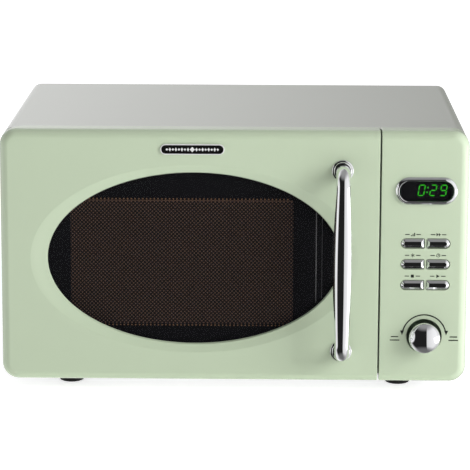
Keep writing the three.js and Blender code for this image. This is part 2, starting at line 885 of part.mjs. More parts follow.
function hingeBracket(zTongue, flangeDirection) {
  const y1 = plateBack + fitGap + 1.5;
  const flangeEnd = zTongue + flangeDirection * 15 + (flangeDirection < 0 ? hingeTongue : 0);
  return cut(
    join(
      box(tongueX0, tongueX1, hingeY, y1, zTongue, zTongue + hingeTongue),
      rodZ(hingeTongueHalf, zTongue, zTongue + hingeTongue, hingeX, hingeY),
      box(
        tongueX0,
        tongueX1,
        y1 - 1.5,
        y1,
        Math.min(zTongue, flangeEnd),
        Math.max(zTongue + hingeTongue, flangeEnd),
      ),
    ),
    rodZ(hingePinRadius + fitGap, zTongue - 1, zTongue + hingeTongue + 1, hingeX, hingeY),
  );
}

const bay = { x0: cavity.x1 + sheet, x1: cabinetSide - sheet }; // components beside the cavity

function cavityFrontPlate() {
  const edge = cabinetSide - sheet - fitGap - 0.5;
  const outline = roundedRectangle(-edge, edge, baseZ + 1.3, cabinetTop - sheet - 0.8, 9);
  outline.holes.push(
    roundedRectangle(cavity.x0, cavity.x1, cavity.z0, cavity.z1, 6, THREE.Path),
    roundedRectangle(
      controlX - 36.5,
      controlX + 35,
      bottom + 18,
      top - 20,
      4,
      THREE.Path,
    ),
  );
  const y0 = plateFront - 1;
  const y1 = plateBack + 1;
  const hookSlots = hookZs.map((z) =>
    box(
      hookX - hookHalf - 1.2,
      hookX + hookHalf + 2.4,
      y0,
      y1,
      z - hookHeight / 2 - 4.5,
      z + hookHeight / 2 + latchTravel + 1,
    ),
  );
  const tongueSlot = (z) =>
    box(tongueX0 - 0.5, tongueX1 + 0.5, y0, y1, z - 0.6, z + hingeTongue + 0.6);
  return cut(
    runBack(outline, plateFront, plateBack, 0, 3),
    ...hookSlots,
    tongueSlot(hingeTopZ),
    tongueSlot(hingeBottomZ),
  );
}

// The waveguide's mouth in the cavity's right wall
const feed = {
  y0: cavityY - 10,
  y1: cavityY + 55,
  z0: cavity.z1 - 72,
  z1: cavity.z1 - 20,
};
const lamp = { y: cavity.y1 - 62, z: cavity.z1 - 92 };
const antenna = { y: feed.y0 - 30, z: (feed.z0 + feed.z1) / 2 };

// A sheet-metal box, open at the front, with a waveguide mouth, a lamp grille and a vent grille.
function cavityLiner() {
  const { x0, x1, y0, y1, z0, z1 } = cavity;
  const wall = (y, z, height) =>
    box(x1 - 2, x1 + 2, y - 1.5, y + 1.5, z - height / 2, z + height / 2);
  const lampSlots = row(4, (i) => wall(lamp.y + (i - 1.5) * 6, lamp.z, 18));
  const airSlots = row(6, (i) => wall(y0 + 26 + i * 6, cavityZ - 40, 26));
  const exhaust = row(6, (i) => {
    const y = y1 - 40 - i * 6;
    return box(x0 - 2, x0 + 2, y - 1.5, y + 1.5, z1 - 50, z1 - 24);
  });
  return cut(
    box(x0 - sheet, x1 + sheet, y0, y1 + sheet, z0 - sheet, z1 + sheet),
    box(x0, x1, y0 - 1, y1, z0, z1),
    box(x1 - 2, x1 + 2, feed.y0 + 5, feed.y1 - 5, feed.z0 + 5, feed.z1 - 5),
    rodZ(6, z0 - 3, z0 + 1, cavityX, cavityY, 20),
    ...lampSlots,
    ...airSlots,
    ...exhaust,
  );
}

const gland = { x: right - 34, z: baseZ + 24, radius: 6 };
const fan = { x: (bay.x0 + bay.x1) / 2, z: cavityZ + 26, y: bodyDepth - 42, radius: 44 };

function rearPanel() {
  const edge = cabinetSide - sheet - fitGap - 0.4;
  const y0 = bodyDepth - 2;
  const outline = roundedRectangle(-edge, edge, baseZ + 0.3, cabinetTop - sheet - 0.7, 9);
  const vents = row(9, (i) => {
    const z = fan.z + (i - 4) * 9;
    const half = Math.sqrt(fan.radius ** 2 - ((i - 4) * 9) ** 2);
    return box(fan.x - half, fan.x + half, y0 - 2, y0 + 2, z - 2, z + 2);
  });
  const exhaust = row(6, (i) => {
    const x = cavity.x0 + 40 + i * 14;
    return box(x - 2, x + 2, y0 - 2, y0 + 2, cavity.z1 + 4, cavity.z1 + 20);
  });
  return cut(
    runBack(outline, y0, y0 + sheet, 0, 3),
    rodY(gland.radius + fitGap, y0 - 2, y0 + 3, gland.x, gland.z),
    ...vents,
    ...exhaust,
  );
}

// A plain bushing for the mains lead.
const cordGland = () => {
  const y = bodyDepth - 2;
  const bore = 3.6;
  return turnedY(
    [
      [bore, y - 6],
      [gland.radius, y - 6],
      [gland.radius, y + sheet + fitGap],
      [gland.radius + 2.5, y + sheet + fitGap],
      [gland.radius + 1.5, y + 6],
      [bore, y + 6],
      [bore, y - 6],
    ],
    24,
  ).translate([gland.x, 0, gland.z]);
};

function buildChassis() {
  return assembly(
    piece("outer_cabinet", outerCabinet(), greyPaint),
    piece("base_pan", basePan(), zincSteel),
    piece("rear_panel", rearPanel(), zincSteel),
    piece("cavity_front_plate", cavityFrontPlate(), enamel),
    piece("cavity_liner", cavityLiner(), enamel),
    piece("hinge_bracket_top", hingeBracket(hingeTopZ, -1), zincSteel),
    piece("hinge_bracket_bottom", hingeBracket(hingeBottomZ, 1), zincSteel),
    feet.map(({ name, x, y }) => piece(name, foot(), blackRubber, x, y, 0)),
    piece("cord_gland", cordGland(), blackPlastic),
  );
}

// ---------------------------------------------------------------- turntable

function turntableMotor() {
  const z0 = baseZ + sheet + 0.8;
  const z1 = cavity.z0 - sheet - fitGap;
  return cut(
    join(
      rodZ(24, z0, z1, cavityX, cavityY, 32),
      box(cavityX - 32, cavityX + 32, cavityY - 5, cavityY + 5, z1 - 2, z1),
    ),
    rodZ(4, z1 - 6, z1 + 1, cavityX, cavityY, 16),
  );
}

// A hub with three arms, on a stem that goes down into the motor.
function turntableCoupler() {
  const z0 = cavity.z0 + 1;
  const z1 = trayBottomZ - 0.8;
  const arms = [0, 120, 240].map((turn) =>
    box(0, couplerArmReach, -3.5, 3.5, z0 + 4, z1).rotate([0, 0, turn]),
  );
  return join(
    rodZ(couplerRadius, z0, z1, 0, 0),
    rodZ(3.5, cavity.z0 - sheet - 5, z0 + 1, 0, 0, 16),
    ...arms,
  );
}

const trayLugs = [60, 180, 300];

function glassTray() {
  const z0 = trayBottomZ;
  const z1 = z0 + trayThickness;
  const zRim = z1 + trayRimHeight;
  const rimWall = 4;
  const dish = turnedZ(
    [
      [0, z0],
      [trayRadius - 14, z0],
      [trayRadius - 5, z0 + 3],
      [trayRadius, zRim - 2],
      [trayRadius - 1, zRim],
      [trayRadius - rimWall, zRim - 1],
      [trayRadius - rimWall - 6, z1 + 1],
      [trayRadius - 18, z1],
      [0, z1],
    ],
    40,
  );
  const lugs = trayLugs.map((turn) =>
    rodZ(2.5, z0 - 5, z0 + 1, couplerArmReach - 4, 0, 8).rotate([0, 0, turn]),
  );
  return join(dish, ...lugs);
}

// The ring keeps three rollers apart. Each roller turns on a stub that points outwards.
const rollerAngles = [30, 150, 270];
const ringWidth = 7;
const stubRadius = 2.2;

function rollerRing() {
  const outer = rollerTrack - rollerWidth / 2 - 2;
  const half = 3;
  const ring = turnedZ(
    [
      [outer - ringWidth, rollerZ - half],
      [outer, rollerZ - half],
      [outer, rollerZ + half],
      [outer - ringWidth, rollerZ + half],
      [outer - ringWidth, rollerZ - half],
    ],
    36,
  );
  const stubs = rollerAngles.map((turn) =>
    join(
      rodX(stubRadius, outer - 1, rollerTrack + rollerWidth / 2 + 2, 0, rollerZ, 12),
      rodX(
        stubRadius + 1,
        rollerTrack + rollerWidth / 2 + 1,
        rollerTrack + rollerWidth / 2 + 2.5,
        0,
        rollerZ,
        12,
      ),
    ).rotate([0, 0, turn]),
  );
  return join(ring, ...stubs);
}

const rollerWheel = () =>
  cut(
    rodX(rollerRadius, -rollerWidth / 2, rollerWidth / 2, 0, 0, 24),
    rodX(stubRadius + fitGap, -rollerWidth, rollerWidth, 0, 0, 12),
  );

function buildTurntable() {
  const wheels = rollerAngles.map((turn, i) => {
    const angle = THREE.MathUtils.degToRad(turn);
    const wheel = piece(
      `roller_wheel_${i + 1}`,
      rollerWheel(),
      whitePlastic,
      cavityX + rollerTrack * Math.cos(angle),
      cavityY + rollerTrack * Math.sin(angle),
      rollerZ,
    );
    wheel.rotation.z = angle;
    return wheel;
  });
  return assembly(
    piece("turntable_motor", turntableMotor(), zincSteel),
    piece("turntable_coupler", turntableCoupler(), whitePlastic, cavityX, cavityY, 0),
    piece("roller_ring", rollerRing(), whitePlastic, cavityX, cavityY, 0),
    wheels,
    piece("glass_tray", glassTray(), clearGlass, cavityX, cavityY, 0),
  );
}

// ---------------------------------------------------------------- machinery beside the cavity

const bayX = (bay.x0 + bay.x1) / 2;

// A flat duct on the cavity's wall, from the magnetron's antenna to the mouth.
const waveguideDepth = 26;
function waveguide() {
  const x1 = bay.x0 + waveguideDepth;
  const y0 = antenna.y - 30;
  return cut(
    box(bay.x0 + fitGap, x1, y0, feed.y1, feed.z0, feed.z1),
    box(bay.x0, x1 - sheet, y0 + sheet, feed.y1 - sheet, feed.z0 + sheet, feed.z1 - sheet),
    rodX(10, bay.x0 + 5, x1 + 2, antenna.y, antenna.z),
  );
}

const waveguideCover = () =>
  box(
    cavity.x1 - fitGap - 0.6,
    cavity.x1 - fitGap,
    feed.y0 - 6,
    feed.y1 + 6,
    feed.z0 - 5,
    feed.z1 + 5,
  );

// Steel yoke, cooling fins round the anode, an antenna that points into the waveguide.
function magnetron() {
  const x0 = bay.x0 + waveguideDepth + 1;
  const x1 = x0 + 66;
  const { y, z } = antenna;
  const halfY = 38;
  const halfZ = 42;
  const yoke = cut(
    box(x0, x1, y - halfY, y + halfY, z - halfZ, z + halfZ),
    box(x0 + 2, x1 - 2, y - halfY - 1, y + halfY + 1, z - halfZ + 2, z + halfZ - 2),
  );
  const fins = row(7, (i) => {
    const x = x0 + 12 + i * 6;
    return box(x, x + 0.8, y - halfY + 3, y + halfY - 3, z - halfZ + 1, z + halfZ - 1);
  });
  return join(
    yoke,
    rodX(20, x0 + 1, x1 - 1, y, z, 12),
    rodX(7, x0 - 16, x0 + 2, y, z, 12),
    box(x1 - 16, x1 - 1, y - 16, y + 16, z - halfZ - 14, z - halfZ + 1),
    ...fins,
  );
}

// Laminated core with two windings on its middle limb.
function powerTransformer() {
  const z0 = baseZ + sheet + fitGap;
  const y = plateBack + 76;
  const halfX = 44;
  const halfY = 26;
  const height = 68;
  const limb = 18;
  const core = cut(
    box(bayX - halfX, bayX + halfX, y - halfY, y + halfY, z0, z0 + height),
    box(bayX - halfX + limb, bayX - 15, y - 40, y + 40, z0 + limb, z0 + height - limb),
    box(bayX + 15, bayX + halfX - limb, y - 40, y + 40, z0 + limb, z0 + height - limb),
  );
  const winding = (low, high, reach) =>
    box(bayX - 25, bayX + 25, y - halfY - reach, y + halfY + reach, z0 + low, z0 + high);
  const foot = box(bayX - halfX - 5, bayX + halfX + 5, y - halfY, y + halfY, z0, z0 + 2);
  return join(core, foot, winding(limb + 1, limb + 14, 12), winding(limb + 17, height - limb - 1, 15));
}

// A flat can that lies on the base, with its two terminals towards the back.
function capacitor() {
  const z0 = baseZ + sheet + fitGap;
  const height = 30;
  const y0 = plateBack + 119;
  const y1 = y0 + 76;
  const terminal = (x) => box(x - 3, x + 3, y1 - 1, y1 + 9, z0 + height / 2 - 1, z0 + height / 2);
  return join(
    runBack(roundedRectangle(bayX - 24, bayX + 24, z0, z0 + height, height / 2 - 1), y0, y1),
    terminal(bayX - 10),
    terminal(bayX + 10),
  );
}

function fanShroud() {
  const { x, y, z, radius } = fan;
  const half = radius + 6;
  return cut(
    box(x - half, x + half, y, bodyDepth - 4, z - half, z + half),
    rodY(radius + 2, y + 2, bodyDepth, x, z, 40),
    rodY(radius - 8, y - 2, y + 4, x, z, 40),
  );
}

function fanBlade() {
  const { radius } = fan;
  const blades = row(6, (i) =>
    box(6, radius - 2, -9, -7.8, -9, 9)
      .rotate([32, 0, 0])
      .translate([0, 8.4, 0])
      .rotate([0, i * 60, 0]),
  );
  return join(rodY(12, -8, 8, 0, 0, 24), rodY(2, -20, 0, 0, 0, 12), ...blades);
}

function fanMotor() {
  const { x, y, z } = fan;
  return cut(
    join(
      box(x - 30, x + 30, y - 26, y - 8, z - 28, z + 28),
      box(x - 14, x + 14, y - 32, y - 2, z - 28, z - 6),
      box(x - 44, x + 44, y - 3.8, y - 2, z - 5, z + 5),
      box(x - 10, x + 10, y - 10, y - 2, z - 10, z + 10),
    ),
    rodY(2.4, y - 14, y, x, z, 16),
  );
}

function cavityLamp() {
  const x0 = bay.x0 + fitGap;
  return join(
    cut(
      box(x0, x0 + 26, lamp.y - 16, lamp.y + 16, lamp.z - 13, lamp.z + 13),
      box(x0 - 1, x0 + 24, lamp.y - 14, lamp.y + 14, lamp.z - 11, lamp.z + 11),
    ),
    rodX(7, x0 + 15, x0 + 25, lamp.y, lamp.z, 16),
    rodX(9, x0 + 4, x0 + 16, lamp.y, lamp.z, 16),
  );
}

function filterBoard() {
  const z0 = top - 20;
  const y0 = plateBack + 45;
  return join(
    box(bayX - 40, bayX + 40, y0, y0 + 62, z0, z0 + 1.6),
    box(bayX - 30, bayX - 2, y0 + 12, y0 + 40, z0 - 14, z0 + 0.5),
    box(bayX + 8, bayX + 34, y0 + 10, y0 + 18, z0 - 8, z0 + 0.5),
    rodZ(9, z0 - 16, z0 + 0.5, bayX + 20, y0 + 42, 20),
  );
}

const switchBody = { x: 10, y: 27, z: 15 };
const switchX = hookX + hookHalf + 9; // left face of the switches
const switches = [
  { name: "interlock_switch_upper", z: hookZs[1] },
  { name: "interlock_switch_middle", z: cavityZ - 6 },
  { name: "interlock_switch_lower", z: hookZs[0] },
];

// A plastic bracket beside the hooks, which holds the three door switches.
function latchBoard() {
  const y0 = plateBack + fitGap;
  const x0 = switchX - 4;
  const shelves = switches.map(({ z }) =>
    box(
      x0 + 1,
      switchX + switchBody.x,
      y0 + 4,
      y0 + 34,
      z - switchBody.z / 2 - 3,
      z - switchBody.z / 2 - fitGap,
    ),
  );
  return join(
    box(x0, x0 + 2, y0, y0 + 38, hookZs[0] - 24, hookZs[1] + 24),
    box(x0, x0 + 12, y0, y0 + 2, hookZs[1] + 14, hookZs[1] + 24),
    box(x0, x0 + 12, y0, y0 + 2, hookZs[0] - 24, hookZs[0] - 14),
    ...shelves,
  );
}

const interlockSwitch = () =>
  join(
    box(
      switchX,
      switchX + switchBody.x,
      plateBack + 6,
      plateBack + 6 + switchBody.y,
      -switchBody.z / 2,
      switchBody.z / 2,
    ),
    box(switchX + 3, switchX + 7, plateBack + 12, plateBack + 14, switchBody.z / 2 - 1, switchBody.z / 2 + 2),
  );

function buildMachinery() {
  return assembly(
    piece("waveguide", waveguide(), zincSteel),
    piece("waveguide_cover", waveguideCover(), mica),
    piece("magnetron", magnetron(), aluminium),
    piece("power_transformer", powerTransformer(), laminatedSteel),
    piece("hv_capacitor", capacitor(), aluminium),
    piece("fan_shroud", fanShroud(), whitePlastic),
    piece("fan_motor", fanMotor(), laminatedSteel),
    piece("fan_blade", fanBlade(), whitePlastic, fan.x, fan.y + 14, fan.z),
    piece("cavity_lamp", cavityLamp(), whitePlastic),
    piece("filter_board", filterBoard(), greenBoard),
    piece("latch_board", latchBoard(), whitePlastic),
    switches.map(({ name, z }) => piece(name, interlockSwitch(), blackPlastic, 0, 0, z)),
  );
}

// ---------------------------------------------------------------- the oven

const oven = assembly(
  buildDoor(),
  buildControls(),
  buildChassis(),
  buildTurntable(),
  buildMachinery(),
);
const frontmost = -handleStandoff - handleMidRadius;
const rearmost = bodyDepth + 4; // end of the cord gland
oven.position.y = -(frontmost + rearmost) / 2;

export default assembly(oven);
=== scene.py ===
"""Looks of a countertop microwave oven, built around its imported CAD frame.

Lengths are in millimetres until new_object() turns them into metres.
"Depth" is the distance behind the plane of the oven's front face.
A profile is a list of (inset or radius, depth or height) pairs that draws a cross-section.
"""
import json
import math

import bmesh
import bpy
from mathutils import Matrix, Vector


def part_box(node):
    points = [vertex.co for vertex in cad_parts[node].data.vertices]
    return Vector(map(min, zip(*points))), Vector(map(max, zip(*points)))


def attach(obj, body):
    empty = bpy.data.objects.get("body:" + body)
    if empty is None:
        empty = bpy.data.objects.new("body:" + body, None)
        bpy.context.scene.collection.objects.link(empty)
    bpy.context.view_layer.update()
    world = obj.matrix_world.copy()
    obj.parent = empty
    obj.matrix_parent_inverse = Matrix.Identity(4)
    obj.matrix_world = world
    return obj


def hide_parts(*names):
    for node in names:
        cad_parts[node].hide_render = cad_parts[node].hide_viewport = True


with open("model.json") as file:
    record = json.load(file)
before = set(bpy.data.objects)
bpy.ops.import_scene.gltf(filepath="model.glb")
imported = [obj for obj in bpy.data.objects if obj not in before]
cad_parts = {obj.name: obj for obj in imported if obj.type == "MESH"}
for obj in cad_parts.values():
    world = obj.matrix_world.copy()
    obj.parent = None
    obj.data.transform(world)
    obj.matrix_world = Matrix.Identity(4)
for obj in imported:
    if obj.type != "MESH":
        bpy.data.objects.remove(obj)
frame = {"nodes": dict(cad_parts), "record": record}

MM = 0.001
SHARP = math.radians(32)  # an edge that turns more than this stays sharp
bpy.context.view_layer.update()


def node_box(name):
    """(lowest corner, highest corner) of a CAD node in millimetres."""
    low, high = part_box(name)
    return Vector(low) / MM, Vector(high) / MM


def centre(name):
    low, high = node_box(name)
    return (low + high) / 2


# ---------------------------------------- sizes

panel_low, panel_high = node_box("control_panel")
door_low, door_high = node_box("door_frame")
FRONT = panel_low.y  # plane of the front face
FRONT_DEPTH = panel_high.y - panel_low.y
WALL = 2.5
CORNER_RADIUS = 16
EDGE_RADIUS = 9
GAP_EDGE_RADIUS = 0.8  # edges along the slit between the door and the panel
GAP_CORNER_RADIUS = 0.7

HINGE = centre("hinge_pin_top")
HINGE_RADIUS = HINGE.x - door_low.x
HINGE_DEPTH = HINGE.y - FRONT

GLASS_MARGIN = 6.5  # hidden rim of the window glass
DISH_SIDE = 14.8  # width of the sunk border round the glass, at its sides
DISH_TOP = 6.6
DISH_DEPTH = 2.5
LIP = 0.6  # half of the bevel between the sunk border and the glass

# ---------------------------------------- materials


class NodeTree:
    """Makes and links the nodes of self.tree."""

    def node(self, kind, **inputs):
        made = self.tree.nodes.new(kind)
        for name, value in inputs.items():
            made.inputs[name].default_value = value
        return made

    def link(self, output, target):
        self.tree.links.new(output, target)


class Finish(NodeTree):
    """A Principled material, to which procedural detail is added."""

    def __init__(self, name, color, roughness, metallic=0.0, **sockets):
        self.material = bpy.data.materials.new(name)
        self.material.use_nodes = True
        self.tree = self.material.node_tree
        self.shader = self.tree.nodes["Principled BSDF"]
        self.color = color
        self.roughness = roughness
        self.set("Base Color", (*color, 1))
        self.set("Roughness", roughness)
        self.set("Metallic", metallic)
        for socket, value in sockets.items():
            self.set(socket.replace("_", " "), value)
        self.bump = None

    def set(self, socket, value):
        self.shader.inputs[socket].default_value = value

    def place(self):
        return self.node("ShaderNodeTexCoord").outputs["Object"]

    def noise(self, size, detail=2.0, stretch=(1, 1, 1)):
        """A noise whose features are about `size` millimetres across."""
        mapping = self.node("ShaderNodeMapping", Scale=stretch)
        self.link(self.place(), mapping.inputs["Vector"])
        noise = self.node("ShaderNodeTexNoise", Scale=1 / (size * MM), Detail=detail)
        self.link(mapping.outputs["Vector"], noise.inputs["Vector"])
        return noise.outputs["Fac"]

    def tint(self, factor, share):
        """The colour goes from darker to lighter by `share` as the factor goes from 0 to 1."""
        mix = self.tree.nodes.new("ShaderNodeMix")
        mix.data_type = "RGBA"
        mix.inputs["A"].default_value = (*[c * (1 - share) for c in self.color], 1)
        mix.inputs["B"].default_value = (*[min(1, c * (1 + share)) for c in self.color], 1)
        self.link(factor, mix.inputs["Factor"])
        self.link(mix.outputs["Result"], self.shader.inputs["Base Color"])
        return self

    def gloss(self, factor, spread):
        ramp = self.node("ShaderNodeMapRange")
        ramp.inputs["From Min"].default_value = 0.3
        ramp.inputs["From Max"].default_value = 0.7
        ramp.inputs["To Min"].default_value = max(0.02, self.roughness - spread)
        ramp.inputs["To Max"].default_value = self.roughness + spread
        self.link(factor, ramp.inputs["Value"])
        self.link(ramp.outputs["Result"], self.shader.inputs["Roughness"])
        return self

    def relief(self, height, depth, strength=1.0):
        """Bumps of `depth` millimetres, added to earlier ones."""
        bump = self.node("ShaderNodeBump", Strength=strength, Distance=depth * MM)
        self.link(height, bump.inputs["Height"])
        if self.bump:
            self.link(self.bump.outputs["Normal"], bump.inputs["Normal"])
        self.link(bump.outputs["Normal"], self.shader.inputs["Normal"])
        self.bump = bump
        return self


def moulded_plastic(name, color, roughness, grain=0.6, **sockets):
    finish = Finish(name, color, roughness, **sockets)
    finish.tint(finish.noise(70), 0.012)
    finish.gloss(finish.noise(35, 4.0), 0.02)
    finish.relief(finish.noise(grain, 3.0), 0.004, 0.2)
    return finish


def enamelled_steel(name, color, roughness, **sockets):
    finish = Finish(name, color, roughness, **sockets)
    finish.tint(finish.noise(160), 0.008)
    finish.gloss(finish.noise(150), 0.006)
    finish.relief(finish.noise(1.6), 0.002, 0.1)
    return finish


def bright_chrome(name):
    finish = Finish(name, (0.9, 0.905, 0.92), 0.03, 1.0)
    finish.tint(finish.noise(12), 0.015)
    finish.gloss(finish.noise(8, 5.0), 0.01)
    finish.relief(finish.noise(25), 0.002, 0.15)
    return finish


def zinc_plated(name, color=(0.6, 0.61, 0.62), roughness=0.42):
    finish = Finish(name, color, roughness, 0.9)
    spangle = finish.node("ShaderNodeTexVoronoi", Scale=1 / (7 * MM))
    finish.link(finish.place(), spangle.inputs["Vector"])
    finish.tint(spangle.outputs["Distance"], 0.12)
    finish.gloss(finish.noise(1.2, 3.0, (1, 1, 14)), 0.1)
    finish.relief(finish.noise(0.5), 0.006, 0.3)
    return finish


def clear_glass(name, color, alpha, roughness=0.03):
    finish = Finish(name, color, roughness, Alpha=alpha, IOR=1.5)
    finish.gloss(finish.noise(60, 3.0), 0.008)
    return finish


def laminated(name):
    finish = Finish(name, (0.16, 0.15, 0.14), 0.5, 0.6)
    sheets = finish.node("ShaderNodeTexWave", Scale=1 / (2.4 * MM), Distortion=0.4)
    finish.link(finish.place(), sheets.inputs["Vector"])
    finish.tint(sheets.outputs["Fac"], 0.35)
    finish.relief(sheets.outputs["Fac"], 0.05, 0.5)
    return finish


FINISHES = {
    "front_plastic": moulded_plastic("green_plastic", (0.51, 0.60, 0.44), 0.24, Coat_Weight=0.5,
                                     Coat_Roughness=0.12),
    "cabinet_paint": enamelled_steel("grey_paint", (0.42, 0.44, 0.38), 0.31, Coat_Weight=0.65,
                                     Coat_Roughness=0.1),
    "chrome": bright_chrome("chrome"),
    "black_plastic": moulded_plastic("black_plastic", (0.012, 0.012, 0.013), 0.42),
    "badge_enamel": moulded_plastic("badge_black", (0.006, 0.006, 0.006), 0.12, Coat_Weight=0.5),
    "black_rubber": moulded_plastic("black_rubber", (0.01, 0.01, 0.01), 0.75, 0.4),
    "tinted_glass": clear_glass("tinted_glass", (0.011, 0.011, 0.013), 0.4),
    "tray_glass": clear_glass("tray_glass", (0.75, 0.82, 0.8), 0.35),
    "screen_steel": enamelled_steel("black_enamel", (0.006, 0.006, 0.006), 0.3),
    "zinc_steel": zinc_plated("zinc"),
    "cavity_enamel": enamelled_steel("cavity_enamel", (0.56, 0.57, 0.55), 0.35),
    "laminated_steel": laminated("laminations"),
    "white_plastic": moulded_plastic("white_plastic", (0.75, 0.74, 0.70), 0.45),
    "circuit_board": moulded_plastic("circuit_board", (0.03, 0.15, 0.05), 0.4),
    "mica": moulded_plastic("mica", (0.5, 0.42, 0.3), 0.6, 1.5),
    "aluminium": zinc_plated("aluminium", (0.72, 0.73, 0.74), 0.42),
    # The knob's well is the front's green plastic made darker: painted shade in its recess.
    "dark_plastic": moulded_plastic("well_plastic_painted_shade", (0.1, 0.15, 0.09), 0.4),
}
LABEL_INK = moulded_plastic("label_ink", (0.008, 0.012, 0.008), 0.6)
SILVER_INK = moulded_plastic("silver_ink", (0.7, 0.7, 0.7), 0.3)
PERFORATED_STEEL = enamelled_steel("brown_steel", (0.055, 0.035, 0.027), 0.45)
# Orange-brown sheet seen through the screen's holes: painted light of the lit cavity behind them.
LIT_CAVITY_FILM = moulded_plastic("painted_cavity_light", (0.66, 0.37, 0.21), 0.5)
# Bright orange dots along the field's edges: painted light for holes lit from the cavity behind.
LIT_HOLE_DOTS = moulded_plastic("painted_lit_holes", (0.95, 0.5, 0.22), 0.4)


def lit_green():
    finish = Finish("lit_green", (0.01, 0.1, 0.01), 0.4)
    finish.set("Emission Color", (0.05, 1.0, 0.02, 1))
    finish.set("Emission Strength", 1.5)
    finish.gloss(finish.noise(0.8), 0.1)
    return finish


# ---------------------------------------- mesh code


def new_object(name, points, faces, merge=0.0, outward=True):
    """An object from points in millimetres. Points closer than `merge` metres become one."""
    mesh = bpy.data.meshes.new(name)
    mesh.from_pydata([Vector(p) * MM for p in points], [], faces)
    work = bmesh.new()
    work.from_mesh(mesh)
    if merge:
        bmesh.ops.remove_doubles(work, verts=work.verts, dist=merge)
    if outward:
        bmesh.ops.recalc_face_normals(work, faces=work.faces)
    work.to_mesh(mesh)
    work.free()
    obj = bpy.data.objects.new(name, mesh)
    bpy.context.collection.objects.link(obj)
    return obj


def smooth_shading(obj, weight=100):
    """Smooth across blunt edges, with flat faces kept flat."""
    obj.data.shade_smooth()
    obj.data.set_sharp_from_angle(angle=SHARP)
    weighted = obj.modifiers.new("weighted normals", "WEIGHTED_NORMAL")
    weighted.keep_sharp = True
    weighted.weight = weight


def mesh_piece(name, points, faces, finish, slot, body, replaces=()):
    """A finished piece that rides on a body and hides the CAD nodes it replaces."""
    obj = new_object(name, points, faces, merge=1e-7)
    obj.data.materials.append(finish.material)
    smooth_shading(obj)
    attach(obj, body)
    if replaces:
        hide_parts(*replaces)
    return obj


def plain_piece(name, points, faces, slot, body, replaces=()):
    """A piece in its slot's own finish."""
    return mesh_piece(name, points, faces, FINISHES[slot], slot, body, replaces)


def skin(rings, wrap=False):
    """Faces between rings of equal length. The ends are closed, or joined when it wraps."""
    count = len(rings[0])
    points = [p for ring in rings for p in ring]
    last = len(rings) - (0 if wrap else 1)
    faces = []
    for i in range(last):
        this, after = i * count, (i + 1) % len(rings) * count
        for j in range(count):
            k = (j + 1) % count
            faces.append((this + j, this + k, after + k, after + j))
    if not wrap:
        faces.append(tuple(range(count)))
        faces.append(tuple(range(len(points) - count, len(points))))
    return points, faces


def merged(*parts):
    """Several (points, faces) as one."""
    points, faces = [], []
    for more_points, more_faces in parts:
        start = len(points)
        points += more_points
        faces += [tuple(start + i for i in face) for face in more_faces]
    return points, faces


def arc(x, y, radius, start, end, steps):
    """Points on an arc, with angles in degrees."""
    angles = [math.radians(start + (end - start) * i / steps) for i in range(steps + 1)]
    return [(x + radius * math.cos(a), y + radius * math.sin(a)) for a in angles]


def lathe(profile, middle, axis="y", segments=96, wrap=False):
    """A turned body from (radius, place along the axis) pairs about a line through `middle`."""
    rings = []
    for radius, along in profile:
        ring = []
        for i in range(segments):
            a = 2 * math.pi * i / segments
            u, v = radius * math.cos(a), radius * math.sin(a)
            if axis == "y":
                ring.append((middle[0] + u, along, middle[1] + v))
            elif axis == "z":
                ring.append((middle[0] + u, middle[1] + v, along))
            else:
                ring.append((along, middle[0] + u, middle[1] + v))
        rings.append(ring)
    return skin(rings, wrap)


def stadium(x, z, width, height, steps=20):
    radius, reach = height / 2, (width - height) / 2
    return arc(x + reach, z, radius, -90, 90, steps) + arc(x - reach, z, radius, 90, 270, steps)


def rectangle(x0, x1, z0, z1):
    return [(x0, z0), (x1, z0), (x1, z1), (x0, z1)]


def at_depth(loop, depth):
    return [(x, FRONT + depth, z) for x, z in loop]


def stadium_rings(middle, width, height, profile, steps):
    """Rings of a stadium's outline from (inset, depth) pairs."""
    return [at_depth(stadium(middle.x, middle.z, width - 2 * inset, height - 2 * inset, steps), depth)
            for inset, depth in profile]


def extruded(loop, front, back):
    """A flat-ended solid between two depths."""
    return skin([at_depth(loop, front), at_depth(loop, back)])


def block(x0, x1, y0, y1, z0, z1):
    return skin([[(x, y, z) for x, z in rectangle(x0, x1, z0, z1)] for y in (y0, y1)])


def cut_out(obj, cutters):
    """Cuts closed (points, faces) solids out of a piece."""
    for points, faces in cutters:
        cutter = new_object("cutter", points, faces)
        mesh = cutter.data
        modifier = obj.modifiers.new("cut", "BOOLEAN")
        modifier.operation = "DIFFERENCE"
        modifier.solver = "EXACT"
        modifier.object = cutter
        with bpy.context.temp_override(object=obj, active_object=obj):
            bpy.ops.object.modifier_move_to_index(modifier="cut", index=0)
            bpy.ops.object.modifier_apply(modifier="cut")
        bpy.data.objects.remove(cutter)
        bpy.data.meshes.remove(mesh)


# ---------------------------------------- door and control panel


def inset_at(depth, radius):
    """How far a rounded edge stands in at a depth."""
    if depth >= radius:
        return 0.0
    return radius - math.sqrt(radius**2 - (radius - depth) ** 2)


def front_loop(x0, x1, z0, z1, left_radius, right_radius):
    """A rounded rectangle, finely divided along its straight sides too."""

    def line(start, end, steps):
        return [tuple(s + (e - s) * i / steps for s, e in zip(start, end)) for i in range(1, steps)]

    left, right = left_radius, right_radius
    corner, wide, high = 14, 60, 30
    return (
        arc(x1 - right, z0 + right, right, -90, 0, corner)
        + line((x1, z0 + right), (x1, z1 - right), high)
        + arc(x1 - right, z1 - right, right, 0, 90, corner)
        + line((x1 - right, z1), (x0 + left, z1), wide)
        + arc(x0 + left, z1 - left, left, 90, 180, corner)
        + line((x0, z1 - left), (x0, z0 + left), high)
        + arc(x0 + left, z0 + left, left, 180, 270, corner)
        + line((x0 + left, z0), (x1 - right, z0), wide)
    )


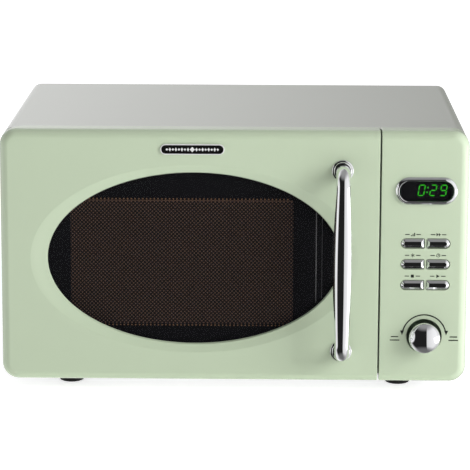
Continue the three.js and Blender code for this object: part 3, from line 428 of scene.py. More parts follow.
def edge_depths():
    """Depths that follow the two roundings and, at the hinge, the round back edge."""
    turns = [math.radians(a) for a in range(0, 91, 9)]
    front = [EDGE_RADIUS * (1 - math.cos(a)) for a in turns]
    gap = [GAP_EDGE_RADIUS * (1 - math.cos(a)) for a in turns[::2]]
    back = [HINGE_DEPTH + HINGE_RADIUS * math.sin(a) for a in turns[:-1]]
    return sorted({round(d, 4) for d in front + gap + back} | {FRONT_DEPTH})


def door_loop(depth, wall=0.0):
    main = inset_at(depth, EDGE_RADIUS)
    behind = min(max(depth - HINGE_DEPTH, 0), HINGE_RADIUS)
    hinge = HINGE_RADIUS - math.sqrt(HINGE_RADIUS**2 - behind**2)
    gap = inset_at(depth, GAP_EDGE_RADIUS)
    return front_loop(
        door_low.x + max(main, hinge) + wall,
        door_high.x - gap - wall,
        door_low.z + main + wall,
        door_high.z - main - wall,
        CORNER_RADIUS - main - wall,
        GAP_CORNER_RADIUS,
    )


def panel_loop(depth, wall=0.0):
    main = inset_at(depth, EDGE_RADIUS)
    gap = inset_at(depth, GAP_EDGE_RADIUS)
    return front_loop(
        panel_low.x + gap + wall,
        panel_high.x - main - wall,
        panel_low.z + main + wall,
        panel_high.z - main - wall,
        GAP_CORNER_RADIUS,
        CORNER_RADIUS - main - wall,
    )


def window():
    """The window's middle and half sizes."""
    low, high = node_box("door_glass")
    middle = (low + high) / 2
    return middle.x, middle.z, (high.x - low.x) / 2 - GLASS_MARGIN, (high.z - low.z) / 2 - GLASS_MARGIN


def ellipse_towards(loop, grow_side=0.0, grow_top=0.0):
    """The points of the window's ellipse, or a larger one, that lie towards the points of a loop."""
    x, z, a, b = window()
    a, b = a + grow_side, b + grow_top
    turns = [math.atan2((q - z) / b, (p - x) / a) for p, q in loop]
    return [(x + a * math.cos(t), z + b * math.sin(t)) for t in turns]


def sunk_border(towards):
    """(loop, depth) pairs from the flat front down the sunk oval border to its lip at the glass."""
    rim = 1.6  # soft outer edge of the border
    side, top = DISH_SIDE + rim - LIP, DISH_TOP + rim - LIP
    steps, easing = 14, 0.12
    border = []
    for i in range(steps + 1):
        share = i / steps
        eased = share - easing * math.sin(2 * math.pi * share) / (2 * math.pi)
        grow = 1 - share
        loop = ellipse_towards(towards, side * grow + LIP, top * grow + LIP)
        border.append((loop, DISH_DEPTH * eased))
    lip = [(ellipse_towards(towards, LIP * share, LIP * share), DISH_DEPTH + depth)
           for share, depth in ((0.6, 0.12), (0.3, 0.45))]
    return border + lip


def door_frame():
    """The moulding round the window: sunk oval border, rounded edges, hollow back."""
    outer = [(door_loop(d), d) for d in edge_depths()]
    towards = outer[0][0]
    seat = 3  # how far the flat behind the border reaches past the window
    back = [
        (ellipse_towards(towards, -LIP, -LIP), WALL + DISH_DEPTH),
        (ellipse_towards(towards, seat, seat), WALL + DISH_DEPTH + 0.1),
        (door_loop(EDGE_RADIUS, WALL), EDGE_RADIUS),
        (door_loop(HINGE_DEPTH, WALL), HINGE_DEPTH),
        (door_loop(FRONT_DEPTH, WALL), FRONT_DEPTH),
    ]
    rings = [at_depth(loop, depth) for loop, depth in outer[::-1] + sunk_border(towards) + back]
    obj = plain_piece("door_moulding", *skin(rings, wrap=True), "front_plastic", "door", ["door_frame"])
    cut_out(obj, hinge_slits())
    obj.data.set_sharp_from_angle(angle=SHARP)


def hinge_slits():
    """Slits in the door's side wall, through which the tongues of the hinge brackets pass."""
    sweep, clear = 8, 1  # a tongue's reach in front of the hinge, and the play above and below it
    tongue = 2
    right = 2 * HINGE.x - node_box("hinge_bracket_top")[0].x + clear
    lower = node_box("hinge_bracket_bottom")[0].z
    upper = node_box("hinge_bracket_top")[1].z - tongue
    return [block(door_low.x - 1, right, HINGE.y - sweep, door_high.y + 1, z - clear, z + tongue + clear)
            for z in (lower, upper)]


BUTTON_NAMES = ["power", "quick_start", "defrost", "clock", "stop", "start"]
BUTTON_CORNER = 1.4
BUTTON_PLAY = 0.5
BUTTON_FLANGE = 0.55 + BUTTON_PLAY  # how far the hidden collar reaches past the cap
BEYOND = (-2, WALL + 1)  # depths of a cutter's ends, clear of both faces of the wall


def button_size():
    """Width and height of a button's cap, inside its collar."""
    low, high = node_box("button_power")
    return high.x - low.x - 2 * BUTTON_FLANGE, high.z - low.z - 2 * BUTTON_FLANGE


def button_side(number):
    """1 for the right column, whose caps are round at the right, and -1 for the left column."""
    return 1 if number % 2 else -1


def button_loop(middle, side, grow):
    """A cap's outline, round at one side."""
    width, height = button_size()
    half_width, half_height = width / 2 + grow, height / 2 + grow
    corner = max(BUTTON_CORNER + grow, 0.2)
    reach_x, reach_z = corner - half_width, half_height - corner
    loop = (
        arc(half_width - half_height, 0, half_height, -90, 90, 20)
        + arc(reach_x, reach_z, corner, 90, 180, 8)
        + arc(reach_x, -reach_z, corner, 180, 270, 8)
    )
    return [(middle.x + side * x, middle.z + z) for x, z in loop]


def panel_openings():
    """Cutters for the display, the knob's well and the six buttons."""
    low, high = node_box("display_lens")
    middle = (low + high) / 2
    lens_play, well_flange = 0.6, 1.8
    display_hole = stadium(middle.x, middle.z, high.x - low.x + 2 * lens_play, high.z - low.z + 2 * lens_play)
    well_low, well_high = node_box("knob_well")
    knob_middle = centre("control_knob")
    well_radius = (well_high.x - well_low.x) / 2 - well_flange
    well_profile = [(well_radius, FRONT + depth) for depth in BEYOND]
    cutters = [extruded(display_hole, *BEYOND), lathe(well_profile, (knob_middle.x, knob_middle.z))]
    for i, name in enumerate(BUTTON_NAMES):
        loop = button_loop(centre(f"button_{name}"), button_side(i), BUTTON_PLAY)
        cutters.append(extruded(loop, *BEYOND))
    return cutters


def control_panel():
    rings = [at_depth(panel_loop(d), d) for d in edge_depths()]
    rings += [at_depth(panel_loop(d, WALL), d) for d in (FRONT_DEPTH, EDGE_RADIUS)]
    rings.append(at_depth(panel_loop(WALL, 1.0), WALL))
    obj = plain_piece("panel_moulding", *skin(rings), "front_plastic", "chassis", ["control_panel"])
    cut_out(obj, panel_openings())
    obj.data.set_sharp_from_angle(angle=SHARP)


def bezel_profile(wall, proud):
    """Cross-section of the display's ring: a bowed cone that rises inwards to its crest."""
    foot, run = 0.12, 0.66 * wall  # where the cone starts, and its width
    edge, drop = 0.85, 0.1
    profile = [(0.0, -0.1), (0.0, -0.5), (foot, -edge)]
    for share in (0.2, 0.4, 0.6, 0.8, 1.0):
        bulge = 0.22 * math.sin(math.pi * share)
        profile.append((foot + run * share, -edge - (proud - edge - drop) * share - bulge))
    profile += [(0.8 * wall, -proud), (0.88 * wall, 0.12 - proud), (0.96 * wall, 0.5 - proud)]
    return profile + [(wall, 1.0 - proud), (wall, -0.1)]


def display():
    """Chromed ring, smoked lens and lit digits."""
    low, high = node_box("display_bezel")
    middle = (low + high) / 2
    width, height = high.x - low.x, high.z - low.z
    lens_low, lens_high = node_box("display_lens")
    lens_width, lens_height = lens_high.x - lens_low.x, lens_high.z - lens_low.z
    lens_play, steps = 0.3, 28
    profile = bezel_profile((width - lens_width) / 2 - lens_play, FRONT - low.y)
    ring = skin(stadium_rings(middle, width, height, profile, steps), wrap=True)
    plain_piece("display_ring", *ring, "chrome", "chassis", ["display_bezel"])

    face, back = lens_low.y - FRONT, lens_high.y - FRONT
    profile = [(0, back), (0, face + 0.5), (0.15, face + 0.15), (0.5, face), (3, face - 0.12)]
    lens = skin(stadium_rings(middle, lens_width, lens_height, profile, steps))
    plain_piece("display_window", *lens, "tinted_glass", "chassis", ["display_lens"])
    digits(middle, back + 0.04)


SEGMENTS = {"0": "abcdef", "2": "abged", "9": "abcdfg"}


def digits(middle, depth):
    """Slanted seven-segment digits and a colon, just behind the smoked lens."""
    height, width, stroke, slant, thick = 10.2, 5.4, 0.85, 0.16, 0.2
    pitch = 9.9
    reach = 18.4  # from the display's middle to the right edge of the last digit
    base_z = middle.z - height / 2
    half = height / 2
    spans = {
        "a": ((0, height), (width, height)),
        "b": ((width, half), (width, height)),
        "c": ((width, 0), (width, half)),
        "d": ((0, 0), (width, 0)),
        "e": ((0, 0), (0, half)),
        "f": ((0, half), (0, height)),
        "g": ((0, half), (width, half)),
    }

    def bar(start, end, x):
        start, end = Vector(start), Vector(end)
        along = (end - start).normalized()
        across = Vector((-along.y, along.x)) * stroke / 2
        tip, gap = stroke / 2, 0.35
        shorter = along * (gap + tip * 0.3)
        a, b = start + shorter, end - shorter
        loop = [a, a + along * tip + across, b - along * tip + across, b, b - along * tip - across,
                a + along * tip - across]
        slanted = [(x + p.x + slant * p.y, base_z + p.y) for p in loop]
        return extruded(slanted, depth, depth + thick)

    lit = lit_green()
    right = middle.x + reach
    places = [right - width - i * pitch for i in (2.13, 1, 0)]  # the colon takes a little room
    for number, (digit, x) in enumerate(zip("029", places), 1):
        bars = [bar(*spans[segment], x) for segment in SEGMENTS[digit]]
        mesh_piece(f"display_digit_{number}", *merged(*bars), lit, "tinted_glass", "chassis")
    colon_x = (places[0] + width + places[1]) / 2
    dot = [(0.7, FRONT + depth), (0.7, FRONT + depth + thick)]
    dots = [lathe(dot, (colon_x + slant * z, base_z + z), segments=16) for z in (3.2, 7.8)]
    mesh_piece("display_colon", *merged(*dots), lit, "tinted_glass", "chassis")


def buttons():
    """Half-round caps, each with a collar and a stem behind the panel's wall."""
    for i, name in enumerate(BUTTON_NAMES):
        node = f"button_{name}"
        low, high = node_box(node)
        middle = (low + high) / 2
        side = button_side(i)
        top, end = low.y - FRONT, high.y - FRONT
        profile = [(0.0, WALL), (0.0, top + 2.4), (-0.2, top + 2.1), (-0.5, top + 1.85), (-2.5, top + 0.2),
                   (-2.75, top + 0.04), (-3.0, top)]
        cap = skin([at_depth(button_loop(middle, side, grow), depth) for grow, depth in profile])
        stem = lathe([(2, FRONT + WALL), (2, FRONT + end)], (middle.x, middle.z), segments=24)
        collar = extruded(button_loop(middle, side, BUTTON_PLAY + 0.5), WALL + 0.5, WALL + 1.6)
        plain_piece(f"push_{name}", *merged(cap, stem, collar), "chrome", node, [node])
        label(name, middle.x, high.z - BUTTON_FLANGE + 4.2)


def flat_mark(name, shapes):
    """Printed marks on the panel: outlines in X and Z that stand a hair proud of the front."""
    parts = [extruded(shape, 0.02, -0.08) for shape in shapes]
    mesh_piece(name, *merged(*parts), LABEL_INK, "black_plastic", "chassis")


def band_shape(x, z, radius, width, start, end, steps):
    """A curved band as one outline."""
    return arc(x, z, radius + width / 2, start, end, steps) + arc(x, z, radius - width / 2, end, start, steps)


def box_shape(x, z, half_width, half_height):
    return rectangle(x - half_width, x + half_width, z - half_height, z + half_height)


def star_shapes(x, z, half_length, half_stroke):
    """Three crossed bars."""
    corners = [(-half_length, -half_stroke), (half_length, -half_stroke), (half_length, half_stroke),
               (-half_length, half_stroke)]
    turns = [math.radians(t) for t in (30, 90, 150)]
    return [[(x + math.cos(a) * r - math.sin(a) * w, z + math.sin(a) * r + math.cos(a) * w)
             for r, w in corners] for a in turns]


def label(name, x, z):
    """A pictogram between two dashes over each button."""
    tall = 1.75
    signs = {
        "power": [rectangle(x + i * 1.5 - 0.5, x + i * 1.5 + 0.5, z - tall, z - tall + (i + 2) * 1.15)
                  for i in (-1, 0, 1)],
        "quick_start": [[(x + s, z + tall), (x + s + 1.8, z), (x + s, z - tall)] for s in (-2.0, 0.2)],
        "defrost": star_shapes(x, z, 1.9, 0.28),
        "clock": [band_shape(x, z, 1.65, 0.5, 0, 178, 12), band_shape(x, z, 1.65, 0.5, 180, 358, 12),
                  rectangle(x - 0.2, x + 0.2, z - 0.1, z + 1.2),
                  rectangle(x + 0.25, x + 1.1, z - 0.2, z + 0.2)],
        "stop": [box_shape(x, z, 1.45, 1.45)],
        "start": [[(x - 1.4, z + tall), (x + 1.7, z), (x - 1.4, z - tall)]],
    }
    dashes = [box_shape(x + side * 5.4, z, 2.1, 0.42) for side in (-1, 1)]
    flat_mark(f"label_{name}", signs[name] + dashes)


def knob():
    """A turned and chromed cap in its well, whose plastic is darkened with painted shade."""
    low, high = node_box("control_knob")
    middle = (low + high) / 2
    radius, top, base = (high.x - low.x) / 2, low.y, high.y
    rise, soft = 8.2, 0.8
    dome_radius = (radius**2 + rise**2) / (2 * rise)
    reach = math.degrees(math.asin(radius / dome_radius))
    profile = [(radius - 1.5, base), (radius - 0.4, base), (radius, base - 0.5), (radius, top + rise + soft)]
    steps = 25
    for i in range(steps):
        turn = math.radians(reach * (1 - i / (steps - 0.5)))  # the crown ends in a tiny flat
        ring = min(dome_radius * math.sin(turn), radius - 0.02)
        profile.append((ring, top + dome_radius * (1 - math.cos(turn)) + 0.04))
    cap = lathe(profile, (middle.x, middle.z), segments=128)
    plain_piece("knob_cap", *cap, "chrome", "knob", ["control_knob"])
    dial_marks(middle, radius + 6.2)


def dial_marks(middle, radius):
    """A printed arc with an arrowhead at each end, and two lines beside each arrowhead."""
    shapes = [band_shape(middle.x, middle.z, radius, 1.25, 14, 166, 60)]
    half_arrow, arrow = 1.9, 4.6
    for side in (-1, 1):
        x, z = middle.x + side * (radius + 0.1), middle.z + 1.0
        shapes.append([(x - half_arrow, z + arrow), (x, z), (x + half_arrow, z + arrow)])
        for row, length in ((0, 7.2), (-3.4, 9.4)):
            line_x, line_z = middle.x + side * (radius + 7.2), middle.z - 0.6 + row
            shapes.append(box_shape(line_x, line_z, length / 2, 0.5))
    flat_mark("dial_marks", shapes)


WIDER = 1.05  # the grip's width over its thickness
HANDLE_END_RADIUS = 6.7


def handle_path(low, high, mid_radius):
    """(depth, Z, heading, radius) along the handle's middle line, from its lower foot to its upper one."""
    bend = 13.5
    end_radius = HANDLE_END_RADIUS
    standoff = FRONT - low.y - mid_radius
    foot_low, foot_high = low.z + end_radius, high.z - end_radius
    lower = [(-0.3, foot_low, 0.0, end_radius)]
    elbow_steps, grip_steps = 16, 40
    for i in range(elbow_steps + 1):
        turn = math.radians(90 * i / elbow_steps)
        depth = bend * (1 - math.sin(turn)) - standoff
        lower.append((depth, foot_low + bend * (1 - math.cos(turn)), turn, end_radius))
    upper = [(y, foot_high + foot_low - z, math.pi - turn, r) for y, z, turn, r in lower][::-1]
    grip = []
    length = foot_high - foot_low - 2 * bend
    for i in range(1, grip_steps):
        share = i / grip_steps
        swell = (mid_radius - end_radius) * math.sin(math.pi * share)
        grip.append((-standoff, foot_low + bend + length * share, math.pi / 2, end_radius + swell))
    return lower + grip + upper


def handle():
    """A bowed tube with an elbow and a stepped rosette at each end."""
    low, high = node_box("handle_bar")
    middle_x = (low.x + high.x) / 2
    sides = 64
    rings = []
    for depth, z, heading, radius in handle_path(low, high, (high.x - low.x) / 2):
        ring = []
        for i in range(sides):
            a = 2 * math.pi * i / sides
            across, outward = WIDER * radius * math.cos(a), radius * math.sin(a)
            y = FRONT + depth + outward * math.sin(heading)
            ring.append((middle_x + across, y, z + outward * math.cos(heading)))
        rings.append(ring)
    plain_piece("handle_tube", *skin(rings), "chrome", "door", ["handle_bar"])
    for node in ("handle_rosette_top", "handle_rosette_bottom"):
        rosette(node)


def rosette(node):
    """A ring of two beads, the inner one taller, round the foot of the handle."""
    low, high = node_box(node)
    middle = (low + high) / 2
    radius, proud = (high.x - low.x) / 2, FRONT - low.y
    bore = HANDLE_END_RADIUS * WIDER + 0.15
    bead, edge, bead_top = 1.7, 0.5, 1.9
    step = radius - bead
    inner = bore + 0.2
    turns = [math.radians(t) for t in range(0, 91, 15)]
    profile = [(bore, -0.05), (radius, -0.05)]
    profile += [(step + bead * math.cos(t), -edge - 1.3 * math.sin(t)) for t in turns]
    profile += [(inner + (step - inner) * math.cos(t), -bead_top - (proud - bead_top) * math.sin(t))
                for t in turns]
    profile.append((bore, -proud))
    turned = lathe([(r, FRONT + d) for r, d in profile], (middle.x, middle.z), segments=72, wrap=True)
    plain_piece(node + "_ring", *turned, "chrome", "door", [node])


def badge():
    """A blank black badge with a silver rim and a row of diamonds."""
    low, high = node_box("nameplate")
    middle = (low + high) / 2
    width, height = high.x - low.x, high.z - low.z
    face = low.y - FRONT
    steps = 16
    profile = [(0.15, -0.05), (0.15, face + 0.25), (0.27, face), (0.6, face)]
    plate = skin(stadium_rings(middle, width, height, profile, steps))
    plain_piece("badge_plate", *plate, "badge_enamel", "door", ["nameplate"])
    profile = [(-0.85, -0.05), (-0.8, face + 0.1), (-0.55, face - 0.1), (-0.1, face - 0.1),
               (0.1, face + 0.1), (0.1, -0.05)]
    trim = skin(stadium_rings(middle, width, height, profile, steps), wrap=True)
    mesh_piece("badge_trim", *trim, SILVER_INK, "chrome", "door")
    diamonds = [extruded(diamond(middle, i), face + 0.02, face - 0.1) for i in range(-8, 9)]
    mesh_piece("badge_ornament", *merged(*diamonds), SILVER_INK, "chrome", "door")


def diamond(middle, number):
    """One of the badge's diamonds. Number 0 is the large middle one, and the others alternate in height."""
    pitch, room = 2.9, 1.2  # the row opens by `room` at both sides of the middle one
    half_width, half_height = 1.2, 1.9 if number % 2 else 1.3
    if number == 0:
        half_width, half_height = 2.6, 2.5
    x = middle.x + number * pitch + (room if number > 0 else -room if number < 0 else 0)
    return [(x - half_width, middle.z), (x, middle.z + half_height), (x + half_width, middle.z),
            (x, middle.z - half_height)]


def perforated(x0, x1, z0, z1, depth, pitch, hole):
    """A thin sheet of brick-like cells with a six-sided hole in each, whose rows are staggered."""
    width, height = pitch[0], pitch[1] / 2
    columns, rows = round((x1 - x0) / width), round((z1 - z0) / height)
    corners = [(-0.5, -0.5), (0, -0.5), (0.5, -0.5), (0.5, 0.5), (0, 0.5), (-0.5, 0.5)]
    count = len(corners)
    points, faces = [], []
    for row in range(rows):
        for column in range(columns):
            x = x0 + width * (column + (0.5 if row % 2 else 0.0))
            z = z0 + height * (row + 0.5)
            outer = [(x + width * u, z + height * v) for u, v in corners]
            inner = arc(x, z, hole / 2, -150, 150, count - 1)
            start = len(points)
            points += at_depth(outer + inner, depth)
            for i in range(count):
                k = (i + 1) % count
                faces.append((start + i, start + k, start + k + count, start + i + count))
    return points, faces


def half_round(x, width, z0, z1, depth):
    """A thin strip along Z whose front is round and whose ends taper."""
    rings = []
    for z, share in ((z0, 0.3), (z0 + 2, 1.0), (z1 - 2, 1.0), (z1, 0.3)):
        bow = arc(x, 0, width / 2 * share, 180, 360, 8)
        rings.append([(u, FRONT + depth + v, z) for u, v in bow])
    return skin(rings)


# Edges of the perforated field, as shares of the window's half sizes
FIELD_LEFT, FIELD_RIGHT = 0.842, 0.673
FIELD_BOTTOM, FIELD_TOP = 0.786, 0.659
HOLE_PITCH = (3.69, 3.75)


def window_screen():
    """A black sheet with a perforated field, two layers deep, all behind the tinted glass."""
    low, high = node_box("door_screen")
    x, z, a, b = window()
    left, right = x - FIELD_LEFT * a, x + FIELD_RIGHT * a
    bottom, top = z - FIELD_BOTTOM * b, z + FIELD_TOP * b
    face = low.y - FRONT

    def outer(inset):
        radius = 6 - inset
        return front_loop(low.x + inset, high.x - inset, low.z + inset, high.z - inset, radius, radius)

    def opening(grow):
        return front_loop(left - grow, right + grow, bottom - grow, top + grow, 1.5 + grow, 1.5 + grow)

    profile = [(outer(0), 0.1), (outer(0), -0.15), (outer(0.4), -0.4), (opening(0.4), -0.4),
               (opening(0), -0.15), (opening(0), 0.1)]
    sheet = skin([at_depth(loop, face + depth) for loop, depth in profile], wrap=True)
    plain_piece("screen_sheet", *sheet, "screen_steel", "door", ["door_screen"])
    # Painted light: this sheet's orange-brown stands for the lit cavity seen through the front layer of
    # holes.
    film = extruded(opening(3), face + 0.15, face + 0.35)
    mesh_piece("screen_lit_cavity_film", *film, LIT_CAVITY_FILM, "screen_steel", "door")
    backing = extruded(opening(3), face + 0.4, face + 0.6)
    mesh_piece("screen_backing", *backing, FINISHES["tinted_glass"], "screen_steel", "door")
    layers = [perforated(left, right + HOLE_PITCH[0], bottom, top, face + depth, HOLE_PITCH, 1.5)
              for depth in (-0.05, 0.7)]
    mesh_piece("screen_field", *merged(*layers), PERFORATED_STEEL, "screen_steel", "door")
    edge_rows(left, right, (bottom - 1.3, top + 1.3), low.y - 0.4)
    bright = half_round(x + 0.83 * a, 1.0, z - 45, z + 45, face - 0.42)
    mesh_piece("screen_rib_1", *bright, SILVER_INK, "screen_steel", "door")
    faint = half_round(x + 0.87 * a, 0.7, z - 41, z + 41, face - 0.42)
    mesh_piece("screen_rib_2", *faint, FINISHES["zinc_steel"], "screen_steel", "door")


def edge_rows(left, right, heights, base):
    """A row of tiny bright studs along the top and bottom of the field: painted light for holes lit from the
    cavity behind.
    """
    profile = [(0.75, base + 0.05), (0.75, base - 0.1), (0.45, base - 0.22), (0.05, base - 0.26)]
    count = int((right - left) / HOLE_PITCH[0])
    studs = [lathe(profile, (left + i * HOLE_PITCH[0], z), segments=8)
             for i in range(1, count) for z in heights]
    mesh_piece("screen_edge_rows", *merged(*studs), LIT_HOLE_DOTS, "screen_steel", "door")


# ---------------------------------------- cabinet and feet


def vent_slots(side, y, heights):
    """Cutters along X through one side of the cabinet, for slots that run along Y."""
    length, height, reach, steps = 48, 3, 5, 8
    loops = [stadium(y, z, length, height, steps) for z in heights]
    return [skin([[(x, p, q) for p, q in loop] for x in (side - reach, side + reach)]) for loop in loops]


def cabinet():
    """One sheet bent over both upper edges, with ventilation slots in its sides."""
    low, high = node_box("outer_cabinet")
    sheet, radius, hem = 1.0, 10.6, 0.25
    side, top = high.x, high.z

    def bend(r):
        reach, height = side - radius, top - radius
        return arc(reach, height, r, 0, 90, 24) + arc(-reach, height, r, 90, 180, 24)

    outer = [(side, low.z)] + bend(radius) + [(-side, low.z)]
    inner = [(side - sheet, low.z)] + bend(radius - sheet) + [(sheet - side, low.z)]
    loop = outer + inner[::-1]
    rings = [[(x, y, z) for x, z in loop] for y in (low.y, low.y + hem, high.y - hem, high.y)]
    obj = plain_piece("cabinet_sheet", *skin(rings), "cabinet_paint", "chassis", ["outer_cabinet"])

    cavity_low, cavity_high = node_box("cavity_liner")
    middle_z = (cavity_low.z + cavity_high.z) / 2
    back, front = high.y - 60, low.y + 70
    pitch = 8
    cutters = vent_slots(side, back, [middle_z + i * pitch for i in range(-3, 4)])
    for i in range(6):
        cutters += vent_slots(side, front, [cavity_low.z + 19 + i * pitch])
        cutters += vent_slots(-side, back, [cavity_high.z - 13 - i * pitch])
    cut_out(obj, cutters)
    obj.data.set_sharp_from_angle(angle=SHARP)


def foot(node):
    low, high = node_box(node)
    middle = (low + high) / 2
    radius = (high.x - low.x) / 2
    seat = high.z - 6.3
    profile = [(radius - 3.2, 0.3), (radius - 3.0, 0.0), (radius - 2.2, 0.0), (radius - 0.9, 0.6),
               (radius, 2.0), (radius - 0.25, 4.5), (radius - 0.35, 6.0), (radius - 0.6, 6.3),
               (radius - 0.6, 7.2), (radius - 0.4, 7.5), (radius - 1, seat - 1), (radius - 1.4, seat),
               (3, seat), (3, high.z)]
    pad = lathe(profile, (middle.x, middle.y), "z", 64)
    plain_piece(f"{node}_pad", *pad, "black_rubber", "chassis", [node])


def rear_screw(number, x, z, face):
    """A pan-head screw that faces backwards, with a cross recess."""
    radius = 3.2
    profile = [(radius, face), (radius, face + 0.5), (radius - 0.5, face + 1.3),
               (radius - 1.6, face + 1.9), (0.4, face + 2.1)]
    head = lathe(profile, (x, z), segments=32)
    obj = plain_piece(f"rear_screw_{number}", *head, "zinc_steel", "chassis")
    arm, half, floor, above = radius * 0.55, 0.45, face + 1.2, face + 3
    cut_out(obj, [block(x - arm, x + arm, floor, above, z - half, z + half),
                  block(x - half, x + half, floor, above, z - arm, z + arm)])


def rear_details():
    """Screws round the rear panel and a blank rating plate."""
    low, high = node_box("rear_panel")
    face = high.y + 0.05
    x_in, z_in = 14, 16
    spots = [(low.x + x_in, high.z - z_in), (0, high.z - 9), (high.x - x_in, high.z - z_in),
             (low.x + x_in, low.z + z_in), (0, low.z + 10), (high.x - x_in, low.z + z_in)]
    for number, (x, z) in enumerate(spots, 1):
        rear_screw(number, x, z, face)
    middle_z = (low.z + high.z) / 2
    left, right, half_height, corner = -119, -1, 31, 4
    rings = []
    for depth, inset in ((0, 0), (0.25, 0), (0.4, 0.15)):
        loop = front_loop(left + inset, right - inset, middle_z - half_height + inset,
                          middle_z + half_height - inset, corner, corner)
        rings.append([(x, face + depth, z) for x, z in loop])
    plain_piece("rating_plate", *skin(rings), "aluminium", "chassis")


# ---------------------------------------- turntable


def glass_tray():
    """A turned dish with four low rings in its floor and three lugs under it."""
    low, high = node_box("glass_tray")
    middle = (low + high) / 2
    radius, top = (high.x - low.x) / 2, high.z
    base = low.z + 5.0  # underside of the dish, above the lugs
    floor = base + 4.6
    profile = [(0.5, base), (radius - 14, base), (radius - 9, base + 0.9), (radius - 5, base + 3),
               (radius - 2, base + 7.2), (radius - 0.3, top - 2.2), (radius, top - 1.2),
               (radius - 0.5, top - 0.3), (radius - 1.4, top), (radius - 3, top - 0.4),
               (radius - 4, top - 1.4), (radius - 6.5, floor + 3.6), (radius - 10, floor + 1),
               (radius - 14, floor + 0.2), (radius - 18, floor)]
    for ring in range(4):
        r = radius - 30 - ring * 22
        profile += [(r + 1.2, floor), (r, floor + 0.35), (r - 1.2, floor)]
    profile.append((0.5, floor))
    dish = lathe(profile, (middle.x, middle.y), "z", 144)
    lug = [(2.0, low.z), (2.5, low.z + 0.5), (2.5, base + 0.1)]
    circle = 13
    spots = [(middle.x + circle * math.cos(a), middle.y + circle * math.sin(a))
             for a in (math.radians(turn) for turn in (60, 180, 300))]
    lugs = [lathe(lug, spot, "z", 24) for spot in spots]
    plain_piece("tray_dish", *merged(dish, *lugs), "tray_glass", "tray", ["glass_tray"])


# ---------------------------------------- CAD nodes that stay


def finish_cad_nodes():
    """Every CAD node gets its slot's finish and smooth shading, even where a piece replaces it."""
    slots = {s["node"]: s["material_slot"] for s in frame["record"]["subparts"]}
    for name, obj in frame["nodes"].items():
        obj.data.materials.clear()
        obj.data.materials.append(FINISHES[slots[name]].material)
        smooth_shading(obj, weight=50)


# ---------------------------------------- stage

FAR = 12000  # radius of the floor and the backdrop


def glowing(name, color, strength):
    finish = Finish(name, color, 0.9)
    finish.set("Emission Color", (1, 1, 1, 1))
    finish.set("Emission Strength", strength)
    return finish


def turned_surface(name, profile, finish):
    """An open surface turned about the Z axis, which isn't part of the object."""
    count = 64
    turns = [2 * math.pi * i / count for i in range(count)]
    points = [(r * math.cos(a), r * math.sin(a), z) for r, z in profile for a in turns]
    faces = []
    for start in range(0, (len(profile) - 1) * count, count):
        for i in range(count):
            k = (i + 1) % count
            faces.append((start + i, start + k, start + count + k, start + count + i))
    obj = new_object(name, points, faces, merge=1e-6, outward=False)
    obj.data.materials.append(finish.material)
    return obj


def stage():
    """A white floor, left out of mirror reflections, and a white backdrop that only the camera sees."""
    white = glowing("floor", (0.9, 0.9, 0.9), 0.7)
    floor = turned_surface("floor", [(0, 0), (FAR / 3, 0), (FAR, 0)], white)
    floor.visible_glossy = False
    dome = [(FAR * math.cos(a), FAR * math.sin(a)) for a in (math.radians(t) for t in range(0, 91, 10))]
    backdrop = turned_surface("backdrop", dome, glowing("backdrop", (0, 0, 0), 1.0))
    backdrop.visible_glossy = False
    backdrop.visible_diffuse = False
    backdrop.visible_transmission = False
    backdrop.visible_shadow = False


def soft_light(name, place, size, watts):
    """An area light that points at the oven's middle. Its place and size are in metres."""
    aim = (0, 0, 0.12)
    light = bpy.data.lights.new(name, "AREA")
    light.shape = "RECTANGLE"
    light.size, light.size_y = size
    light.energy = watts
    obj = bpy.data.objects.new(name, light)
    bpy.context.collection.objects.link(obj)
    obj.visible_glossy = False  # chrome and glass mirror the studio alone
    obj.location = place
    obj.rotation_euler = (Vector(aim) - Vector(place)).to_track_quat("-Z", "Y").to_euler()


# Brightness of the studio from its left (-1) to its right (1), in front of the oven and behind it
STUDIO_FRONT = [(-1, 1.0), (-0.9, 0.82), (-0.86, 0.015), (0.21, 0.015), (0.26, 0.72), (0.6, 0.85),
                (1, 1.0)]
STUDIO_BACK = [(-1, 0.8), (-0.1, 1.0), (0.16, 0.22), (1, 0.8)]
CEILING, GROUND, PANEL = 0.3, 0.15, 2.4

# Between which values of a direction's X, Y or Z one part of the studio gives way to the next
FRONT_TO_BACK = ("Y", -0.15, 0.25)
SIDE_TO_PANEL = ("X", 0.82, 0.97)
PANEL_TO_TOP = ("Z", -0.12, 0.04)
WALL_TO_CEILING = ("Z", 0.62, 1.0)
WALL_TO_GROUND = ("Z", -0.75, -1.0)


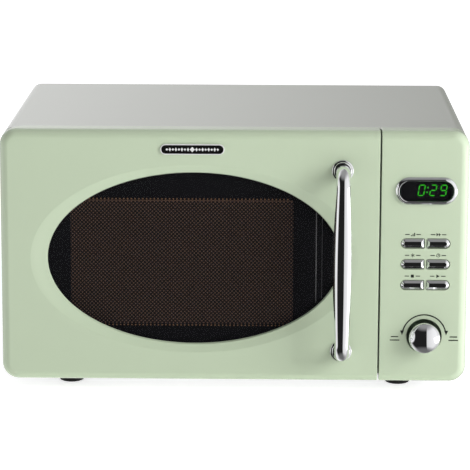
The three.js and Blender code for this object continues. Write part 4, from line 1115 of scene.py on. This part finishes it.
class Studio(NodeTree):
    """A world whose brightness depends on the direction."""

    def __init__(self, name):
        world = bpy.data.worlds.new(name)
        bpy.context.scene.world = world
        world.use_nodes = True
        self.tree = world.node_tree
        self.direction = self.node("ShaderNodeSeparateXYZ")
        self.link(self.node("ShaderNodeTexCoord").outputs["Generated"], self.direction.inputs["Vector"])

    def ramp(self, axis, low, high):
        """0 to 1, smoothly, as the direction's X, Y or Z goes from `low` to `high`."""
        made = self.node("ShaderNodeMapRange")
        made.interpolation_type = "SMOOTHSTEP"
        made.inputs["From Min"].default_value = low
        made.inputs["From Max"].default_value = high
        self.link(self.direction.outputs[axis], made.inputs["Value"])
        return made.outputs["Result"]

    def across(self, stops):
        """Brightness from left to right, from (X, brightness) pairs."""
        share = self.node("ShaderNodeMapRange")
        share.inputs["From Min"].default_value = -1
        self.link(self.direction.outputs["X"], share.inputs["Value"])
        made = self.node("ShaderNodeValToRGB")
        while len(made.color_ramp.elements) < len(stops):
            made.color_ramp.elements.new(0.5)
        for element, (x, brightness) in zip(made.color_ramp.elements, stops):
            element.position = (x + 1) / 2
            element.color = (brightness, brightness, brightness, 1)
        self.link(share.outputs["Result"], made.inputs["Fac"])
        return made.outputs["Color"]

    def blend(self, factor, first, second):
        """From `first` to `second`, which may be a number, as the factor goes from 0 to 1."""
        mix = self.node("ShaderNodeMix")
        mix.data_type = "RGBA"
        self.link(factor, mix.inputs["Factor"])
        self.link(first, mix.inputs["A"])
        if isinstance(second, float):
            mix.inputs["B"].default_value = (second, second, second, 1)
        else:
            self.link(second, mix.inputs["B"])
        return mix.outputs["Result"]


def studio_world():
    """Two bright sides with a dark gap behind the camera, and a dark ceiling and ground.

    A brighter panel stands at the far right, below the horizon.
    """
    studio = Studio("studio")
    sides = studio.blend(studio.ramp(*FRONT_TO_BACK), studio.across(STUDIO_FRONT), studio.across(STUDIO_BACK))
    bright_right = studio.blend(studio.ramp(*SIDE_TO_PANEL), sides, PANEL)
    walls = studio.blend(studio.ramp(*PANEL_TO_TOP), bright_right, sides)
    with_ceiling = studio.blend(studio.ramp(*WALL_TO_CEILING), walls, CEILING)
    whole = studio.blend(studio.ramp(*WALL_TO_GROUND), with_ceiling, GROUND)
    studio.link(whole, studio.tree.nodes["Background"].inputs["Color"])


def lights():
    studio_world()
    soft_light("key", place=(1.9, -1.1, 0.95), size=(1.0, 1.3), watts=37)
    soft_light("fill", place=(-2.2, -2.0, 1.2), size=(1.6, 1.6), watts=1.5)
    bpy.context.scene.view_settings.view_transform = "Standard"
    bpy.context.scene.view_settings.look = "None"


def camera():
    """A long lens, slightly above the oven and almost straight on."""
    azimuth, pitch, roll = (math.radians(a) for a in (0.805, 11.395, 0.198))
    place = Vector((34.5, FRONT - 2384.7, 640.8))
    level = Vector((-math.sin(azimuth), math.cos(azimuth), 0))
    forward = level * math.cos(pitch) + Vector((0, 0, -math.sin(pitch)))
    right = Vector((math.cos(azimuth), math.sin(azimuth), 0))
    up = right.cross(forward)
    right, up = right * math.cos(roll) + up * math.sin(roll), up * math.cos(roll) - right * math.sin(roll)
    data = bpy.data.cameras.new("camera")
    data.lens = 193.17
    data.sensor_width = 36
    data.clip_end = 100
    obj = bpy.data.objects.new("camera", data)
    bpy.context.collection.objects.link(obj)
    turn = Matrix((right, up, -forward)).transposed().to_4x4()
    obj.matrix_world = Matrix.Translation(place * MM) @ turn
    bpy.context.scene.camera = obj


# ---------------------------------------- all of it

finish_cad_nodes()
door_frame()
window_screen()
badge()
handle()
control_panel()
display()
buttons()
knob()
cabinet()
for foot_node in [name for name in frame["nodes"] if name.startswith("foot_")]:
    foot(foot_node)
rear_details()
glass_tray()
stage()
lights()
camera()
